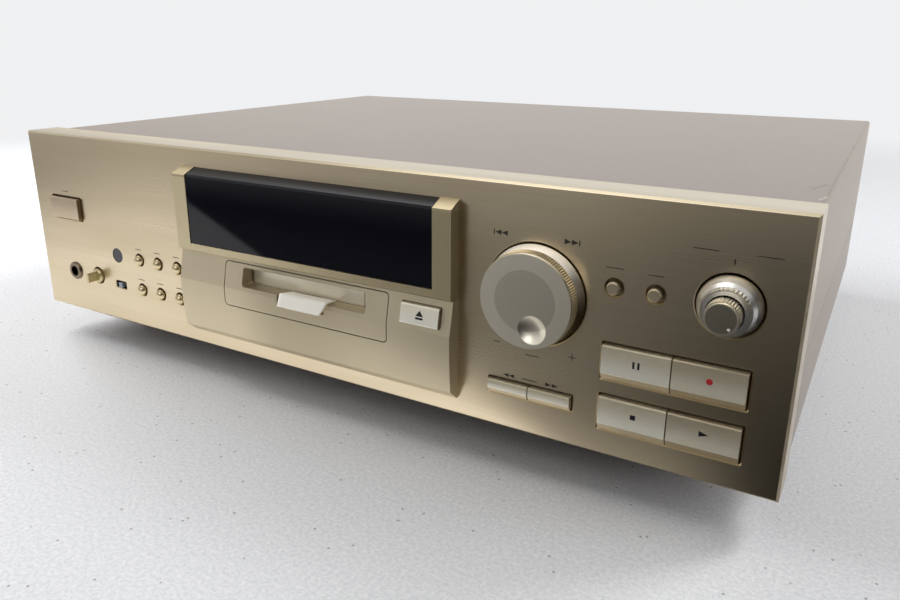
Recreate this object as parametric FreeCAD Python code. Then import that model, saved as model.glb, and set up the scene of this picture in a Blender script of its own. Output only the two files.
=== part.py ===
import FreeCAD, Part
import math
import os

# Minidisc deck, full-width hi-fi separate. Millimetres.
# Frame: X to the right, Y to the rear, Z up. The origin lies on the floor under the
# middle of the overall box, so the feet stand on Z = 0.

V = FreeCAD.Vector

# Housing.
panel_width = 440.0
panel_height = 110.0
foot_height = 18.0  # floor to the lower edge of the front panel
cover_reach = 347.0  # face of the panel to the rear edge of the cover
level_reach = 15.5  # level knob in front of the face, the foremost point
jack_reach = 9.0  # phono sockets behind the cover, the rearmost point
panel_thick = 3.0
panel_return = 20.0  # depth of the folded top and side lips of the panel
return_thick = 2.0
panel_chamfer = 1.0
cover_inset = 1.2  # sides of cover and chassis inside the panel's outline
cover_drop = 1.0  # top of the cover below the top of the panel
sheet = 1.2  # steel sheet of cover, chassis and rear panel
cover_bend = 1.8
cover_lip = 14.0  # fold of the cover down over the rear panel
seam_height = 43.4  # joint of cover and chassis side above the panel's edge
seam_gap = 0.6
chassis_rise = 3.0  # underside of the chassis above the panel's edge
flange_rise = 18.0  # inner flange of the chassis side, behind the cover
foot_radius = 27.0
foot_inset = 55.0  # foot centre from the side of the panel
foot_setback = 62.0  # foot centre from the panel's face and from the rear edge
foot_recess = 10.0  # radius of the well round the foot's screw
foot_seat = 4.0  # floor of the well above the pad
pad_radius = 20.0
pad_thick = 2.0
screw_radius = 1.5
screw_hole = 1.7
screw_head = 3.2
screw_head_height = 1.8
screw_reach = 3.0  # end of a screw past the sheet it holds
screw_inset = 24.0  # outer rear screws from the cover's sides
vent_width = 3.0
vent_length = 24.0
vent_pitch = 9.0
vent_count = 8
vent_left = 60.0
vent_setback = 150.0  # vents in the chassis floor behind the panel's face
fit = 0.3  # gap between separate pieces that don't touch
running = 0.06  # radial gap of a shaft in its bushing
press = 0.02  # radial gap of a part pressed on or into another

# Centre module: bezel, lens, fascia with the disc slot.
module_middle = -1.0
module_width = 168.2
module_wall = 2.0
step_height = 55.8  # joint of the fascia and the bezel; slot, key, lens and disc keep their places to it
step_depth = 5.0  # the fascia starts this far proud, under the bezel's foot
bezel_proud = 7.4
bezel_height = 41.2  # front upper edge of the bezel above the joint
bezel_slope = 3.4  # rise of its top towards the panel
bezel_rise = 1.4  # lower front edge of the bezel above the joint
crease_proud = 8.3
crease_drop = 15.3  # crease of the fascia below the joint
belly_proud = 8.1
belly_height = 26.0
toe_proud = 7.0
toe_height = 13.6
heel_proud = 1.2
heel_height = 8.6
window_margin = 6.0  # panel window inside the module's outline
lens_width = 149.0
lens_rise = 5.2  # foot of the lens above the joint
lens_wall = 2.2
lens_recess = 0.4
lens_chamfer = 0.8
insert_width = 102.8
insert_drop = 1.1  # head of the insert below the joint
insert_height = 23.9
insert_radius = 2.4
insert_gap = 0.5
insert_lap = 2.0  # rear flange of the insert behind the fascia
slot_middle = -1.3
slot_width = 78.0
slot_drop = 3.3  # head of the slot below the joint
slot_height = 10.0
slot_radius = 1.6
slot_wall = 1.4
notch_width = 30.0
notch_drop = 5.0
flap_setback = 0.5  # front of the flap behind the panel's face
flap_thick = 1.2
flap_pad_width = 65.3
flap_pad_thick = 0.4
flap_pin = 0.8
flap_pin_drop = 1.4  # flap's pin above the slot's upper edge
ear_thick = 2.0
ear_gap = 1.0  # ears of the insert outside the slot
tunnel_reach = 0.2  # rear end of the slot's tunnel behind the panel's face
eject_middle = 67.7
eject_width = 21.0
eject_drop = 3.0  # head of the eject key's hole below the joint
eject_height = 10.0
eject_proud = 1.8

# Keys.
key_proud = 2.2
key_gap = 0.6
key_end_gap = 0.6
key_split = 0.5  # between the two keys of a pair
key_bevel = 3.0
search_bevel = 2.2
key_edge = 0.5
key_lap = 1.5  # flange behind the panel, above and below the cut-out
key_flange = 1.2
key_travel = 0.6
stem_radius = 1.8
plunger_gap = 0.1  # key's stem to its switch at the end of the travel
transport_width = 56.3
upper_keys_foot = 34.0
upper_keys_head = 50.0
lower_keys_foot = 11.7
lower_keys_head = 27.6
search_width = 39.1
search_offset = -0.7  # middle of the search keys from the middle of the jog dial
search_foot = 16.0
search_head = 23.3
power_width = 27.5
power_foot = 58.3
power_head = 72.3
power_travel = 2.0
round_hole = 3.6
round_cap = 2.9
round_rim = 0.7  # rim of the domed cap before the panel
round_dome = 1.9
flat_cap = 2.75
flat_face = 2.1
flat_proud = 2.2
flat_edge = 0.6
round_flange = 5.0
small_pitch = 15.8
small_upper = 41.3
small_lower = 23.2
mode_height = 73.0
hole_flare = 0.5

# Dials.
jog_height = 64.1
jog_radius = 21.7
jog_hole_gap = 0.6
jog_proud = 10.2
jog_skirt_proud = 0.6  # foot of the cone behind the grip
jog_flange_proud = 4.0  # head of that cone
jog_groove = 0.4
jog_band_radius = 20.5
jog_band_proud = 9.4
jog_face_radius = 19.8
jog_ribs = 84
jog_rib_depth = 0.3
jog_sink = 2.0  # rear rim of the dial behind the panel's face
jog_cup_radius = 18.5
jog_wall = 3.4
jog_hub = 6.0
jog_shaft_radius = 2.5
jog_travel = 0.7
jog_ring_radius = 13.4
jog_ring_depth = 0.35
jog_shaft_end = 8.0  # rear end of the shaft behind the panel's face
encoder_side = 12.0
encoder_front = 3.6
encoder_rear = 9.0
carrier_width = 40.0
carrier_height = 16.0
guide_offset = 15.0
guide_radius = 1.5
guide_front = 5.5
dimple_reach = 12.0  # middle of the finger dimple from the middle of the dial
dimple_turn = 18.0  # degrees from straight below, to the right
dimple_radius = 6.1
dimple_depth = 2.0
level_height = 73.3
skirt_radius = 11.7
skirt_hole_gap = 0.6
skirt_proud = 6.2
band_radius = 8.9
band_proud = 9.0
ring_face_radius = 7.8
ring_bore = 6.8
level_radius = 6.3
level_face_radius = 5.6
level_ribs = 36
level_rib_depth = 0.25
ring_floor = 2.2  # floor of the ring's well before the panel's face
sleeve_radius = 3.0
sleeve_bore = 2.0
sleeve_end = 10.0
level_shaft_end = 13.0
level_control_side = 18.0
level_control_front = 6.0
phones_height = 25.4
phones_proud = 1.2
phones_body = 14.0  # side of the socket's square body
phones_ring = 5.5
phones_bore = 3.25
phones_depth = 30.0
volume_height = 25.7
volume_radius = 4.4
volume_hole_gap = 0.6
volume_proud = 1.8
blade_reach = 7.8
blade_height = 5.6
blade_thick = 2.0
pot_shaft_radius = 2.5
pot_side = 12.0
pot_front = 7.0
pot_shaft_end = 13.0
bush_wall = 1.5
sensor_height = 41.3
sensor_radius = 4.3
timer_height = 23.1
timer_width = 9.0
timer_opening = 4.2
timer_throw = 2.5

# Boards and inner parts.
board_setback = 16.0  # front of the key boards behind the panel's face
board_thick = 1.6
board_margin = 10.0  # edge of a board from the panel's side
board_foot = 9.0
left_board_head = 82.0
right_board_head = 96.0
board_lap = 6.0  # edge of a board past the outermost key that it carries
display_lap = 5.0  # display board past the window at either end
socket_gap = 0.8  # boards round the body of the headphone socket
post_inset = 3.0
post_offset = 4.0  # inner posts of the right board from the module
mode_post = 8.0  # post beside the rec mode key
side_post_height = 56.0
switch_side = 6.0
switch_depth = 3.5
plunger_length = 1.4
plunger_radius = 1.6
post_radius = 2.5
tube_width = 122.0
tube_rise = 6.0  # foot of the display tube above the foot of the lens
tube_height = 25.0
tube_front = 2.0  # front of the display tube before the panel's face
floor_post = 8.0
main_board_width = 176.0
main_board_depth = 150.0
main_board_margin = 14.0  # edge of the board from the side of the chassis
main_board_gap = 16.0  # edge of the board from the rear panel
corner_inset = 5.0
can_radius = 5.0
can_height = 16.0
can_pitch = 17.0
can_margin = 20.0
small_can_radius = 4.0
small_can_height = 11.0
chip_side = 24.0
chip_height = 3.0
transformer_width = 62.0
transformer_depth = 52.0
transformer_height = 54.0
transformer_margin = 70.0  # middle of the transformer from the panel's left side
transformer_setback = 60.0  # its rear from the rear panel
coil_reach = 14.0  # winding before and behind the core
coil_inset = 10.0
strap_reach = 12.0
strap_thick = 1.5
jack_radius = 4.15
jack_flange = 0.7
jack_bore = 1.6
jack_pitch = 18.0
jack_row = 18.0
jack_margin = 128.0  # left column of jacks from the panel's right side
jack_low = 34.0
jack_wall = 8.0  # edge of the jack block from the middle of a jack
jack_depth = 12.0
optical_side = 10.0
optical_pitch = 15.0
optical_margin = 190.0  # left optical socket from the panel's right side
optical_height = 43.0
optical_proud = 1.0
optical_depth = 8.0
optical_port = 6.8
optical_port_depth = 5.0
cap_grip = 8.4
inlet_margin = 55.0  # middle of the inlet from the panel's left side
inlet_middle = 30.0
inlet_width = 19.0
inlet_height = 13.0
inlet_depth = 16.0
inlet_rim = 2.0
inlet_wall = 1.6
inlet_floor = 3.0
contact_radius = 1.2
contact_spread = 4.3

# Disc mechanism.
cartridge_width = 72.0
cartridge_depth = 68.0
cartridge_thick = 5.0
holder_room = 0.5  # free space round the cartridge in its holder
holder_wall = 0.8
holder_setback = 27.0  # front of the holder behind the panel's face
holder_drop = 4.5
loading_stroke = 10.0
pin_radius = 1.25
cam_gap = 0.08
frame_setback = 17.0
frame_reach = 110.0
frame_wall = 1.5
frame_floor_drop = 18.0  # floor of the mechanism below the disc level
turntable_radius = 9.0
spindle_radius = 1.9
motor_radius = 12.0
shaft_radius = 1.2
rod_radius = 1.5
rod_spread = 16.0
rod_height = 5.5  # rods above the mechanism's floor
rod_lead = 16.0  # front end of the rods behind the disc's middle
rod_length = 44.0
rod_post = 4.0
sled_stroke = 16.0
plate_gap = 0.4
plate_thick = 1.5
plate_room = 4.4  # side wall of the mechanism from the disc holder
front_pin = 14.0  # holder's pins from its front and from its rear
rear_pin = 16.0

# Places that follow from the sizes.
face = (level_reach - cover_reach - jack_reach) / 2
panel_back = face + panel_thick
rear_edge = face + cover_reach
rear_face = rear_edge - sheet  # outer face of the rear panel, inside the cover's lip
left_side = -panel_width / 2
right_side = panel_width / 2
cover_half = panel_width / 2 - cover_inset
board_front = face + board_setback
switch_front = board_front - switch_depth - plunger_length
cover_front = face + panel_return + fit


def up(height):
    """Height above the panel's lower edge, in the deck's frame."""
    return foot_height + height


bezel_foot = step_height + bezel_rise
bezel_top_front = step_height + bezel_height
bezel_top_rear = bezel_top_front + bezel_slope
crease_height = step_height - crease_drop
lens_foot = step_height + lens_rise
insert_head = step_height - insert_drop
insert_foot = insert_head - insert_height
slot_head = step_height - slot_drop
slot_foot = slot_head - slot_height
eject_head = step_height - eject_drop
eject_foot = eject_head - eject_height
tube_foot = lens_foot + tube_rise
tube_head = tube_foot + tube_height
module_left = module_middle - module_width / 2
module_right = module_middle + module_width / 2
lens_left = module_middle - lens_width / 2
lens_right = module_middle + lens_width / 2
insert_left = slot_middle - insert_width / 2
insert_right = slot_middle + insert_width / 2
slot_left = slot_middle - slot_width / 2
slot_right = slot_middle + slot_width / 2
window_left = module_left + window_margin
window_right = module_right - window_margin
window_foot = up(heel_height + window_margin)
window_head = up(bezel_top_front - 3.0)


def left_place(share):
    """Place in the field left of the module, as a share of its width from the panel's side."""
    return left_side + share * (module_left - left_side)


def right_place(share):
    """Place in the field right of the module, as a share of its width from the module."""
    return module_right + share * (right_side - module_right)


power_x = left_place(0.2187)
phones_x = left_place(0.2194)
volume_x = left_place(0.3803)
sensor_x = left_place(0.5322)
small_columns = [left_place(0.6746) + small_pitch * i for i in range(3)]
mode_x = right_place(0.5026)
enter_x = right_place(0.6194)
level_x = right_place(0.8145)
transport_right = right_place(0.8904)
transport_left = transport_right - transport_width
jog_x = module_right + 0.5427 * (transport_left - module_right)
cover_top = up(panel_height - cover_drop)
seam_top = up(seam_height)
seam_bottom = seam_top - seam_gap
tunnel_end = face + tunnel_reach
pin_y = face + flap_setback + flap_pin + fit
pin_z = up(slot_head) + flap_pin_drop
transformer_x = left_side + transformer_margin
inlet_x = left_side + inlet_margin
jack_left = right_side - jack_margin
optical_left = right_side - optical_margin
disc_z = up(slot_head - slot_height / 2)
holder_front = face + holder_setback
holder_half = cartridge_width / 2 + holder_room + holder_wall
holder_depth = cartridge_depth + 2 * holder_room + holder_wall
disc_y = holder_front + holder_room + cartridge_depth / 2
frame_floor = disc_z - frame_floor_drop
wall_inner = holder_half + plate_room
pin_places = (holder_front + front_pin, holder_front + holder_depth - rear_pin)
rod_z0 = frame_floor + rod_height
rod_start = disc_y + rod_lead
rod_end = rod_start + rod_length
table_top = disc_z - cartridge_thick / 2 - holder_drop - 0.5
floor_top = up(chassis_rise) + sheet


# Helpers.
def box(x0, x1, y0, y1, z0, z1):
    return Part.makeBox(x1 - x0, y1 - y0, z1 - z0, V(x0, y0, z0))


def rod_x(y, z, radius, x0, x1):
    return Part.makeCylinder(radius, x1 - x0, V(x0, y, z), V(1, 0, 0))


def rod_y(x, z, radius, y0, y1):
    return Part.makeCylinder(radius, y1 - y0, V(x, y0, z), V(0, 1, 0))


def rod_z(x, y, radius, z0, z1):
    return Part.makeCylinder(radius, z1 - z0, V(x, y, z0), V(0, 0, 1))


def outline(x0, x1, z0, z1, radius, y):
    """Closed wire of a rounded rectangle in the plane Y = y."""
    bend = radius * (1 - math.sqrt(0.5))
    corners = [
        (V(x1 - radius, y, z0), V(x1 - bend, y, z0 + bend), V(x1, y, z0 + radius)),
        (V(x1, y, z1 - radius), V(x1 - bend, y, z1 - bend), V(x1 - radius, y, z1)),
        (V(x0 + radius, y, z1), V(x0 + bend, y, z1 - bend), V(x0, y, z1 - radius)),
        (V(x0, y, z0 + radius), V(x0 + bend, y, z0 + bend), V(x0 + radius, y, z0)),
    ]
    edges = []
    for i, (start, middle, end) in enumerate(corners):
        edges.append(Part.Arc(start, middle, end).toShape())
        edges.append(Part.makeLine(end, corners[(i + 1) % 4][0]))
    return Part.Wire(edges)


def plate(x0, x1, z0, z1, radius, y0, y1):
    """Rounded rectangle carried along Y."""
    return Part.Face(outline(x0, x1, z0, z1, radius, y0)).extrude(V(0, y1 - y0, 0))


def flare(x0, x1, z0, z1, radius):
    """Cutter for the chamfered mouth of a rectangular hole in the panel's face."""
    wide = outline(
        x0 - hole_flare, x1 + hole_flare, z0 - hole_flare, z1 + hole_flare, radius + hole_flare, face
    )
    return Part.makeLoft([wide, outline(x0, x1, z0, z1, radius, face + hole_flare)], True)


def turned(profile, x, z):
    """Closed (radius, y) profile turned about the line through (x, z) along Y."""
    points = [V(x + radius, y, z) for radius, y in profile]
    wire = Part.makePolygon(points + [points[0]])
    return Part.Face(wire).revolve(V(x, 0, z), V(0, 1, 0), 360)


def turned_z(profile, x, y):
    """Closed (radius, z) profile turned about the vertical line through (x, y)."""
    points = [V(x + radius, y, z) for radius, z in profile]
    wire = Part.makePolygon(points + [points[0]])
    return Part.Face(wire).revolve(V(x, y, 0), V(0, 0, 1), 360)


def along_x(profile, x0, x1):
    """Closed (y, z) polygon carried from x0 to x1."""
    points = [V(x0, y, z) for y, z in profile]
    return Part.Face(Part.makePolygon(points + [points[0]])).extrude(V(x1 - x0, 0, 0))


def ribbed_ring(x, z, outer, inner, ribs, depth, y0, y1):
    """Ring along Y with a V-ribbed rim, for finger grip."""
    points = []
    for i in range(2 * ribs):
        radius = outer - depth * (i % 2)
        angle = math.pi * i / ribs
        points.append(V(x + radius * math.cos(angle), y0, z + radius * math.sin(angle)))
    body = Part.Face(Part.makePolygon(points + [points[0]])).extrude(V(0, y1 - y0, 0))
    return body.cut(rod_y(x, z, inner, y0 - 1, y1 + 1))


def save(name, shape):
    if not shape.isValid():
        print("invalid shape:", name)
    print(name, len(shape.Solids), "solids", round(shape.Volume, 1))
    shape.exportStep("parts/" + name + ".step")


# Panel, cover, chassis.
def round_hole_cutter(x, z, radius):
    mouth = radius + hole_flare
    profile = [
        (0, face - 1),
        (mouth, face - 1),
        (mouth, face),
        (radius, face + hole_flare),
        (radius, panel_back + 1),
        (0, panel_back + 1),
    ]
    return turned(profile, x, z)


def key_hole_cutter(x0, x1, z0, z1):
    shaft = plate(x0, x1, z0, z1, key_edge, face - 1, panel_back + 1)
    return shaft.fuse(flare(x0, x1, z0, z1, key_edge))


def round_key_places():
    places = [(x, up(small_upper)) for x in small_columns]
    places += [(x, up(small_lower)) for x in small_columns]
    places += [(mode_x, up(mode_height)), (enter_x, up(mode_height))]
    return places


def front_panel():
    body = box(left_side, right_side, face, face + panel_return, up(0), up(panel_height))
    front_edges = [e for e in body.Edges if all(abs(v.Y - face) < 0.01 for v in e.Vertexes)]
    body = body.makeChamfer(panel_chamfer, front_edges)
    pocket = box(
        left_side + return_thick,
        right_side - return_thick,
        panel_back,
        face + panel_return + 1,
        up(-1),
        up(panel_height - return_thick),
    )
    cutters = [pocket]
    cutters.append(box(window_left, window_right, face - 1, panel_back + 1, window_foot, window_head))
    for x, z in round_key_places():
        cutters.append(round_hole_cutter(x, z, round_hole))
    cutters.append(round_hole_cutter(jog_x, up(jog_height), jog_radius + jog_hole_gap))
    cutters.append(round_hole_cutter(level_x, up(level_height), skirt_radius + skirt_hole_gap))
    cutters.append(round_hole_cutter(volume_x, up(volume_height), volume_radius + volume_hole_gap))
    cutters.append(rod_y(phones_x, up(phones_height), phones_ring - 1.0 + running, face - 1, panel_back + 1))
    cutters.append(rod_y(sensor_x, up(sensor_height), sensor_radius + 0.1, face - 1, panel_back + 1))
    cutters.append(key_hole_cutter(*transport_hole(upper_keys_foot, upper_keys_head)))
    cutters.append(key_hole_cutter(*transport_hole(lower_keys_foot, lower_keys_head)))
    cutters.append(key_hole_cutter(*search_hole()))
    cutters.append(key_hole_cutter(*power_hole()))
    cutters.append(key_hole_cutter(*timer_hole()))
    for cutter in cutters:
        body = body.cut(cutter)
    return body


def transport_hole(foot, head):
    return transport_left, transport_right, up(foot), up(head)


def search_hole():
    middle = jog_x + search_offset
    return middle - search_width / 2, middle + search_width / 2, up(search_foot), up(search_head)


def power_hole():
    return power_x - power_width / 2, power_x + power_width / 2, up(power_foot), up(power_head)


def timer_hole():
    across = timer_width / 2
    half = timer_opening / 2
    return sensor_x - across, sensor_x + across, up(timer_height) - half, up(timer_height) + half


def bent_cover(half, top, foot, radius, y0, y1):
    """Inverted U across the deck with rounded upper corners, closed to a solid."""
    blank = plate(-half, half, foot - 2 * radius, top, radius, y0, y1)
    return blank.cut(box(-half - 1, half + 1, y0 - 1, y1 + 1, foot - 3 * radius, foot))


def top_cover():
    shell = bent_cover(cover_half, cover_top, seam_top, cover_bend, cover_front, rear_edge)
    half = cover_half - sheet
    top = cover_top - sheet
    bend = cover_bend - sheet + 0.2
    shell = shell.cut(bent_cover(half, top, seam_top - 1, bend, cover_front - 1, rear_edge + 1))
    shell = shell.fuse(box(-half, half, rear_face, rear_edge, cover_top - cover_lip, top))
    for x in screw_columns():
        shell = shell.cut(rod_y(x, cover_top - cover_lip / 2, screw_hole, rear_face - 1, rear_edge + 1))
    return shell.removeSplitter()


def screw_columns():
    return [-cover_half + screw_inset, 0, cover_half - screw_inset]


def chassis():
    half = cover_half
    low = up(chassis_rise)
    front = panel_back
    floor = box(-half + sheet, half - sheet, front, rear_face, low, low + sheet)
    floor = floor.cut(box(-half, -half + return_gap(), front - 1, cover_front, low - 1, low + 2))
    floor = floor.cut(box(half - return_gap(), half, front - 1, cover_front, low - 1, low + 2))
    lip = box(-half + 6, half - 6, front, front + sheet, low, low + 6)
    body = floor.fuse(lip)
    for side in (-1, 1):
        outer = sorted((side * half, side * (half - sheet)))
        inner = sorted((side * (half - sheet), side * (half - 2 * sheet)))
        body = body.fuse(box(outer[0], outer[1], cover_front, rear_edge, low, seam_bottom))
        rear_stop = rear_face - sheet - fit
        body = body.fuse(
            box(inner[0], inner[1], cover_front, rear_stop, low, seam_top + flange_rise)
        )
    for i in range(vent_count):
        x = vent_left + vent_pitch * i
        y = face + vent_setback
        body = body.cut(box(x, x + vent_width, y, y + vent_length, low - 1, low + 3))
    for x, y in foot_places():
        body = body.cut(rod_z(x, y, screw_hole, low - 1, low + 3))
    return body.removeSplitter()


def return_gap():
    """Room beside the chassis floor for the panel's folded sides."""
    return return_thick - cover_inset + fit


def rear_panel():
    half = cover_half - sheet - fit
    body = box(-half, half, rear_face - sheet, rear_face, floor_top, cover_top - sheet - fit)
    for x in screw_columns():
        body = body.cut(rod_y(x, cover_top - cover_lip / 2, screw_hole, rear_face - 3, rear_face + 1))
    for x, z in jack_places():
        body = body.cut(rod_y(x, z, jack_radius + jack_flange + running, rear_face - 3, rear_face + 1))
    for x in optical_places():
        half = optical_side / 2 + fit / 2
        z = up(optical_height)
        body = body.cut(box(x - half, x + half, rear_face - 3, rear_face + 1, z - half, z + half))
    x0, x1, z0, z1 = inlet_hole()
    body = body.cut(plate(x0 - 0.1, x1 + 0.1, z0 - 0.1, z1 + 0.1, 2.1, rear_face - 3, rear_face + 1))
    return body


def jack_places():
    places = []
    for column in range(2):
        for row in range(2):
            places.append((jack_left + jack_pitch * column, up(jack_low) + jack_row * row))
    return places


def optical_places():
    return [optical_left + optical_pitch * i for i in range(3)]


def inlet_hole():
    half = inlet_width / 2
    middle = up(inlet_middle)
    return inlet_x - half, inlet_x + half, middle - inlet_height / 2, middle + inlet_height / 2


def foot_places():
    x = panel_width / 2 - foot_inset
    return [(side, y) for y in (face + foot_setback, rear_edge - foot_setback) for side in (-x, x)]


def foot(x, y):
    top = up(chassis_rise)
    profile = [
        (screw_hole, pad_thick + foot_seat),
        (foot_recess, pad_thick + foot_seat),
        (foot_recess, pad_thick),
        (foot_radius - 5, pad_thick),
        (foot_radius - 3, pad_thick + 1.5),
        (foot_radius - 3, pad_thick + 5),
        (foot_radius - 1.2, pad_thick + 5.8),
        (foot_radius - 1.2, pad_thick + 6.8),
        (foot_radius, pad_thick + 7.6),
        (foot_radius, top - 2),
        (foot_radius - 1.5, top),
        (screw_hole, top),
    ]
    return turned_z(profile, x, y)


def foot_pads():
    rings = []
    for x, y in foot_places():
        rings.append(rod_z(x, y, pad_radius, 0, pad_thick).cut(rod_z(x, y, foot_recess, -1, pad_thick + 1)))
    return Part.makeCompound(rings)


def housing_screws():
    parts = []
    for x in screw_columns():
        z = cover_top - cover_lip / 2
        shank = rod_y(x, z, screw_radius, rear_face - sheet - screw_reach, rear_edge)
        head = rod_y(x, z, screw_head, rear_edge, rear_edge + screw_head_height)
        parts.append(shank.fuse(head).removeSplitter())
    for x, y in foot_places():
        seat = pad_thick + foot_seat
        shank = rod_z(x, y, screw_radius, seat, floor_top + screw_reach)
        head = rod_z(x, y, screw_head + 1, seat - screw_head_height, seat)
        parts.append(shank.fuse(head).removeSplitter())
    return Part.makeCompound(parts)


# Centre module.
def fascia_wire(x, shift):
    """Side outline of the fascia, moved rearward by shift, in the plane X = x."""
    def point(proud, height):
        return V(x, face - proud + shift, up(height))

    top_rear = V(x, face, up(step_height))
    step = point(step_depth, step_height)
    crease = point(crease_proud, crease_height)
    belly = point(belly_proud, belly_height)
    toe = point(toe_proud, toe_height)
    heel = point(heel_proud, heel_height)
    foot_rear = V(x, face, up(heel_height))
    edges = [
        Part.makeLine(top_rear, step),
        Part.makeLine(step, crease),
        Part.Arc(crease, belly, toe).toShape(),
        Part.makeLine(toe, heel),
        Part.makeLine(heel, foot_rear),
        Part.makeLine(foot_rear, top_rear),
    ]
    return Part.Wire(edges)


def fascia_solid(x0, x1):
    return Part.Face(fascia_wire(x0, 0)).extrude(V(x1 - x0, 0, 0))


def fascia_skin(x0, x1, start, end):
    """Layer that follows the fascia's front, from start to end behind its surface."""
    deep = 5 * crease_proud
    ahead = Part.Face(surface_wire(x0, start, deep)).extrude(V(x1 - x0, 0, 0))
    behind = Part.Face(surface_wire(x0, end, deep)).extrude(V(x1 - x0, 0, 0))
    return ahead.cut(behind)


def surface_wire(x, shift, deep):
    """Region behind the fascia's front surface, moved rearward by shift."""
    def point(proud, height):
        return V(x, face - proud + shift, up(height))

    slope = (crease_proud - step_depth) / (step_height - crease_height)
    extra = 6.0
    top = point(step_depth - slope * extra, step_height + extra)
    crease = point(crease_proud, crease_height)
    belly = point(belly_proud, belly_height)
    toe = point(toe_proud, toe_height)
    rear_top = V(x, face + deep, top.z)
    rear_toe = V(x, face + deep, toe.z)
    edges = [
        Part.makeLine(top, crease),
        Part.Arc(crease, belly, toe).toShape(),
        Part.makeLine(toe, rear_toe),
        Part.makeLine(rear_toe, rear_top),
        Part.makeLine(rear_top, top),
    ]
    return Part.Wire(edges)


def surface_proud(height):
    """How far the sloped upper field of the fascia stands before the panel."""
    slope = (crease_proud - step_depth) / (step_height - crease_height)
    return crease_proud - slope * (height - crease_height)


def insert_plate(grow, y0, y1):
    return plate(
        insert_left - grow,
        insert_right + grow,
        up(insert_foot) - grow,
        up(insert_head) + grow,
        insert_radius + grow,
        y0,
        y1,
    )


def slot_plate(grow, y0, y1):
    z0 = up(slot_foot) - grow
    z1 = up(slot_head) + grow
    return plate(slot_left - grow, slot_right + grow, z0, z1, slot_radius + grow, y0, y1)


def slot_fascia():
    body = fascia_solid(module_left, module_right)
    inner = Part.Face(surface_wire(module_left + module_wall, module_wall, 3 * crease_proud))
    inner = inner.extrude(V(module_width - 2 * module_wall, 0, 0))
    limit = box(
        module_left,
        module_right,
        face - crease_proud,
        face + 1,
        up(toe_height),
        up(step_height) - module_wall,
    )
    body = body.cut(inner.common(limit))
    body = body.cut(insert_plate(0, face - 20, face + 1))
    body = body.cut(eject_hole(0))
    return body.removeSplitter()


def eject_hole(shrink):
    half = eject_width / 2 - shrink
    return plate(
        eject_middle - half,
        eject_middle + half,
        up(eject_foot) + shrink,
        up(eject_head) - shrink,
        key_edge,
        face - 20,
        face + 20,
    )


def slot_frame():
    x0 = insert_left - insert_lap
    x1 = insert_right + insert_lap
    skin = fascia_skin(x0, x1, 0, module_wall).common(insert_plate(-insert_gap, face - 20, face + 20))
    lap = fascia_skin(x0, x1, module_wall, module_wall + 1.0).common(
        plate(
            x0,
            x1,
            up(insert_foot) - insert_lap,
            up(step_height) - module_wall - fit,
            insert_radius,
            face - 20,
            face + 20,
        )
    )
    body = skin.fuse(lap)
    tunnel = fascia_skin(x0, x1, 0, 60).common(slot_plate(slot_wall, face - 20, tunnel_end))
    body = body.fuse(tunnel)
    body = body.cut(slot_plate(0, face - 20, tunnel_end + 1))
    notch = plate(
        slot_middle - notch_width / 2,
        slot_middle + notch_width / 2,
        up(slot_foot) - notch_drop,
        up(slot_foot) + 1,
        1.5,
        face - 20,
        face - crease_proud + module_wall - 0.6,
    )
    body = body.cut(notch)
    for x in (slot_left - ear_gap - ear_thick, slot_right + ear_gap):
        root = box(x, x + ear_thick, tunnel_end - 1.5, pin_y, pin_z - 3.0, pin_z)
        ear = box(x, x + ear_thick, face + fit, pin_y + 1.8, pin_z - 3.0, pin_z + 1.8)
        body = body.fuse(root).fuse(ear)
        body = body.cut(rod_x(pin_y, pin_z, flap_pin + running, x - 1, x + ear_thick + 1))
    return body.removeSplitter()


def slot_flap():
    overlap = ear_gap - fit
    x0 = slot_left - overlap
    x1 = slot_right + overlap
    front = face + flap_setback + flap_pad_thick
    leaf = box(x0, x1, front, front + flap_thick, up(slot_foot) - 0.4, pin_z)
    barrel = rod_x(pin_y, pin_z, flap_pin + 0.5, x0, x1)
    pins = rod_x(pin_y, pin_z, flap_pin, x0 - ear_thick, x1 + ear_thick)
    pad = plate(
        slot_middle - flap_pad_width / 2,
        slot_middle + flap_pad_width / 2,
        up(slot_foot) + 0.2,
        up(slot_head) - 1.6,
        0.6,
        front - flap_pad_thick,
        front + 0.4,
    )
    return leaf.fuse(barrel).fuse(pins).fuse(pad).removeSplitter()


def bezel_profile(inset):
    """Side outline of the bezel, inset all round from its visible faces."""
    return [
        (face, up(step_height) + inset),
        (face - step_depth, up(step_height) + inset),
        (face - bezel_proud + inset, up(bezel_foot) + inset),
        (face - bezel_proud + inset, up(bezel_top_front) - inset),
        (face, up(bezel_top_rear) - inset),
    ]


def display_bezel():
    body = along_x(bezel_profile(0), module_left, module_right)
    left = lens_left - fit
    right = lens_right + fit
    body = body.cut(box(left, right, face - 20, face + 1, up(lens_foot) - fit, up(bezel_top_rear + 5)))
    for x0, x1 in ((module_left, left), (right, module_right)):
        pocket = box(
            x0 + module_wall,
            x1 - module_wall,
            face - bezel_proud + module_wall,
            face + 1,
            up(lens_foot),
            up(bezel_top_front) - module_wall,
        )
        body = body.cut(pocket)
    return body


def display_lens():
    front = face - bezel_proud + lens_recess
    slope = (bezel_top_rear - bezel_top_front) / bezel_proud
    top_front = up(bezel_top_front) - 0.1
    top_rear = top_front + slope * (face - front)
    profile = [
        (front, up(lens_foot)),
        (front + lens_wall, up(lens_foot)),
        (front + lens_wall, top_front - lens_wall),
        (face, top_rear - lens_wall),
        (face, top_rear),
        (front + lens_chamfer, top_front + slope * lens_chamfer),
        (front, top_front - lens_chamfer),
    ]
    return along_x(profile, lens_left, lens_right)


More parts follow.
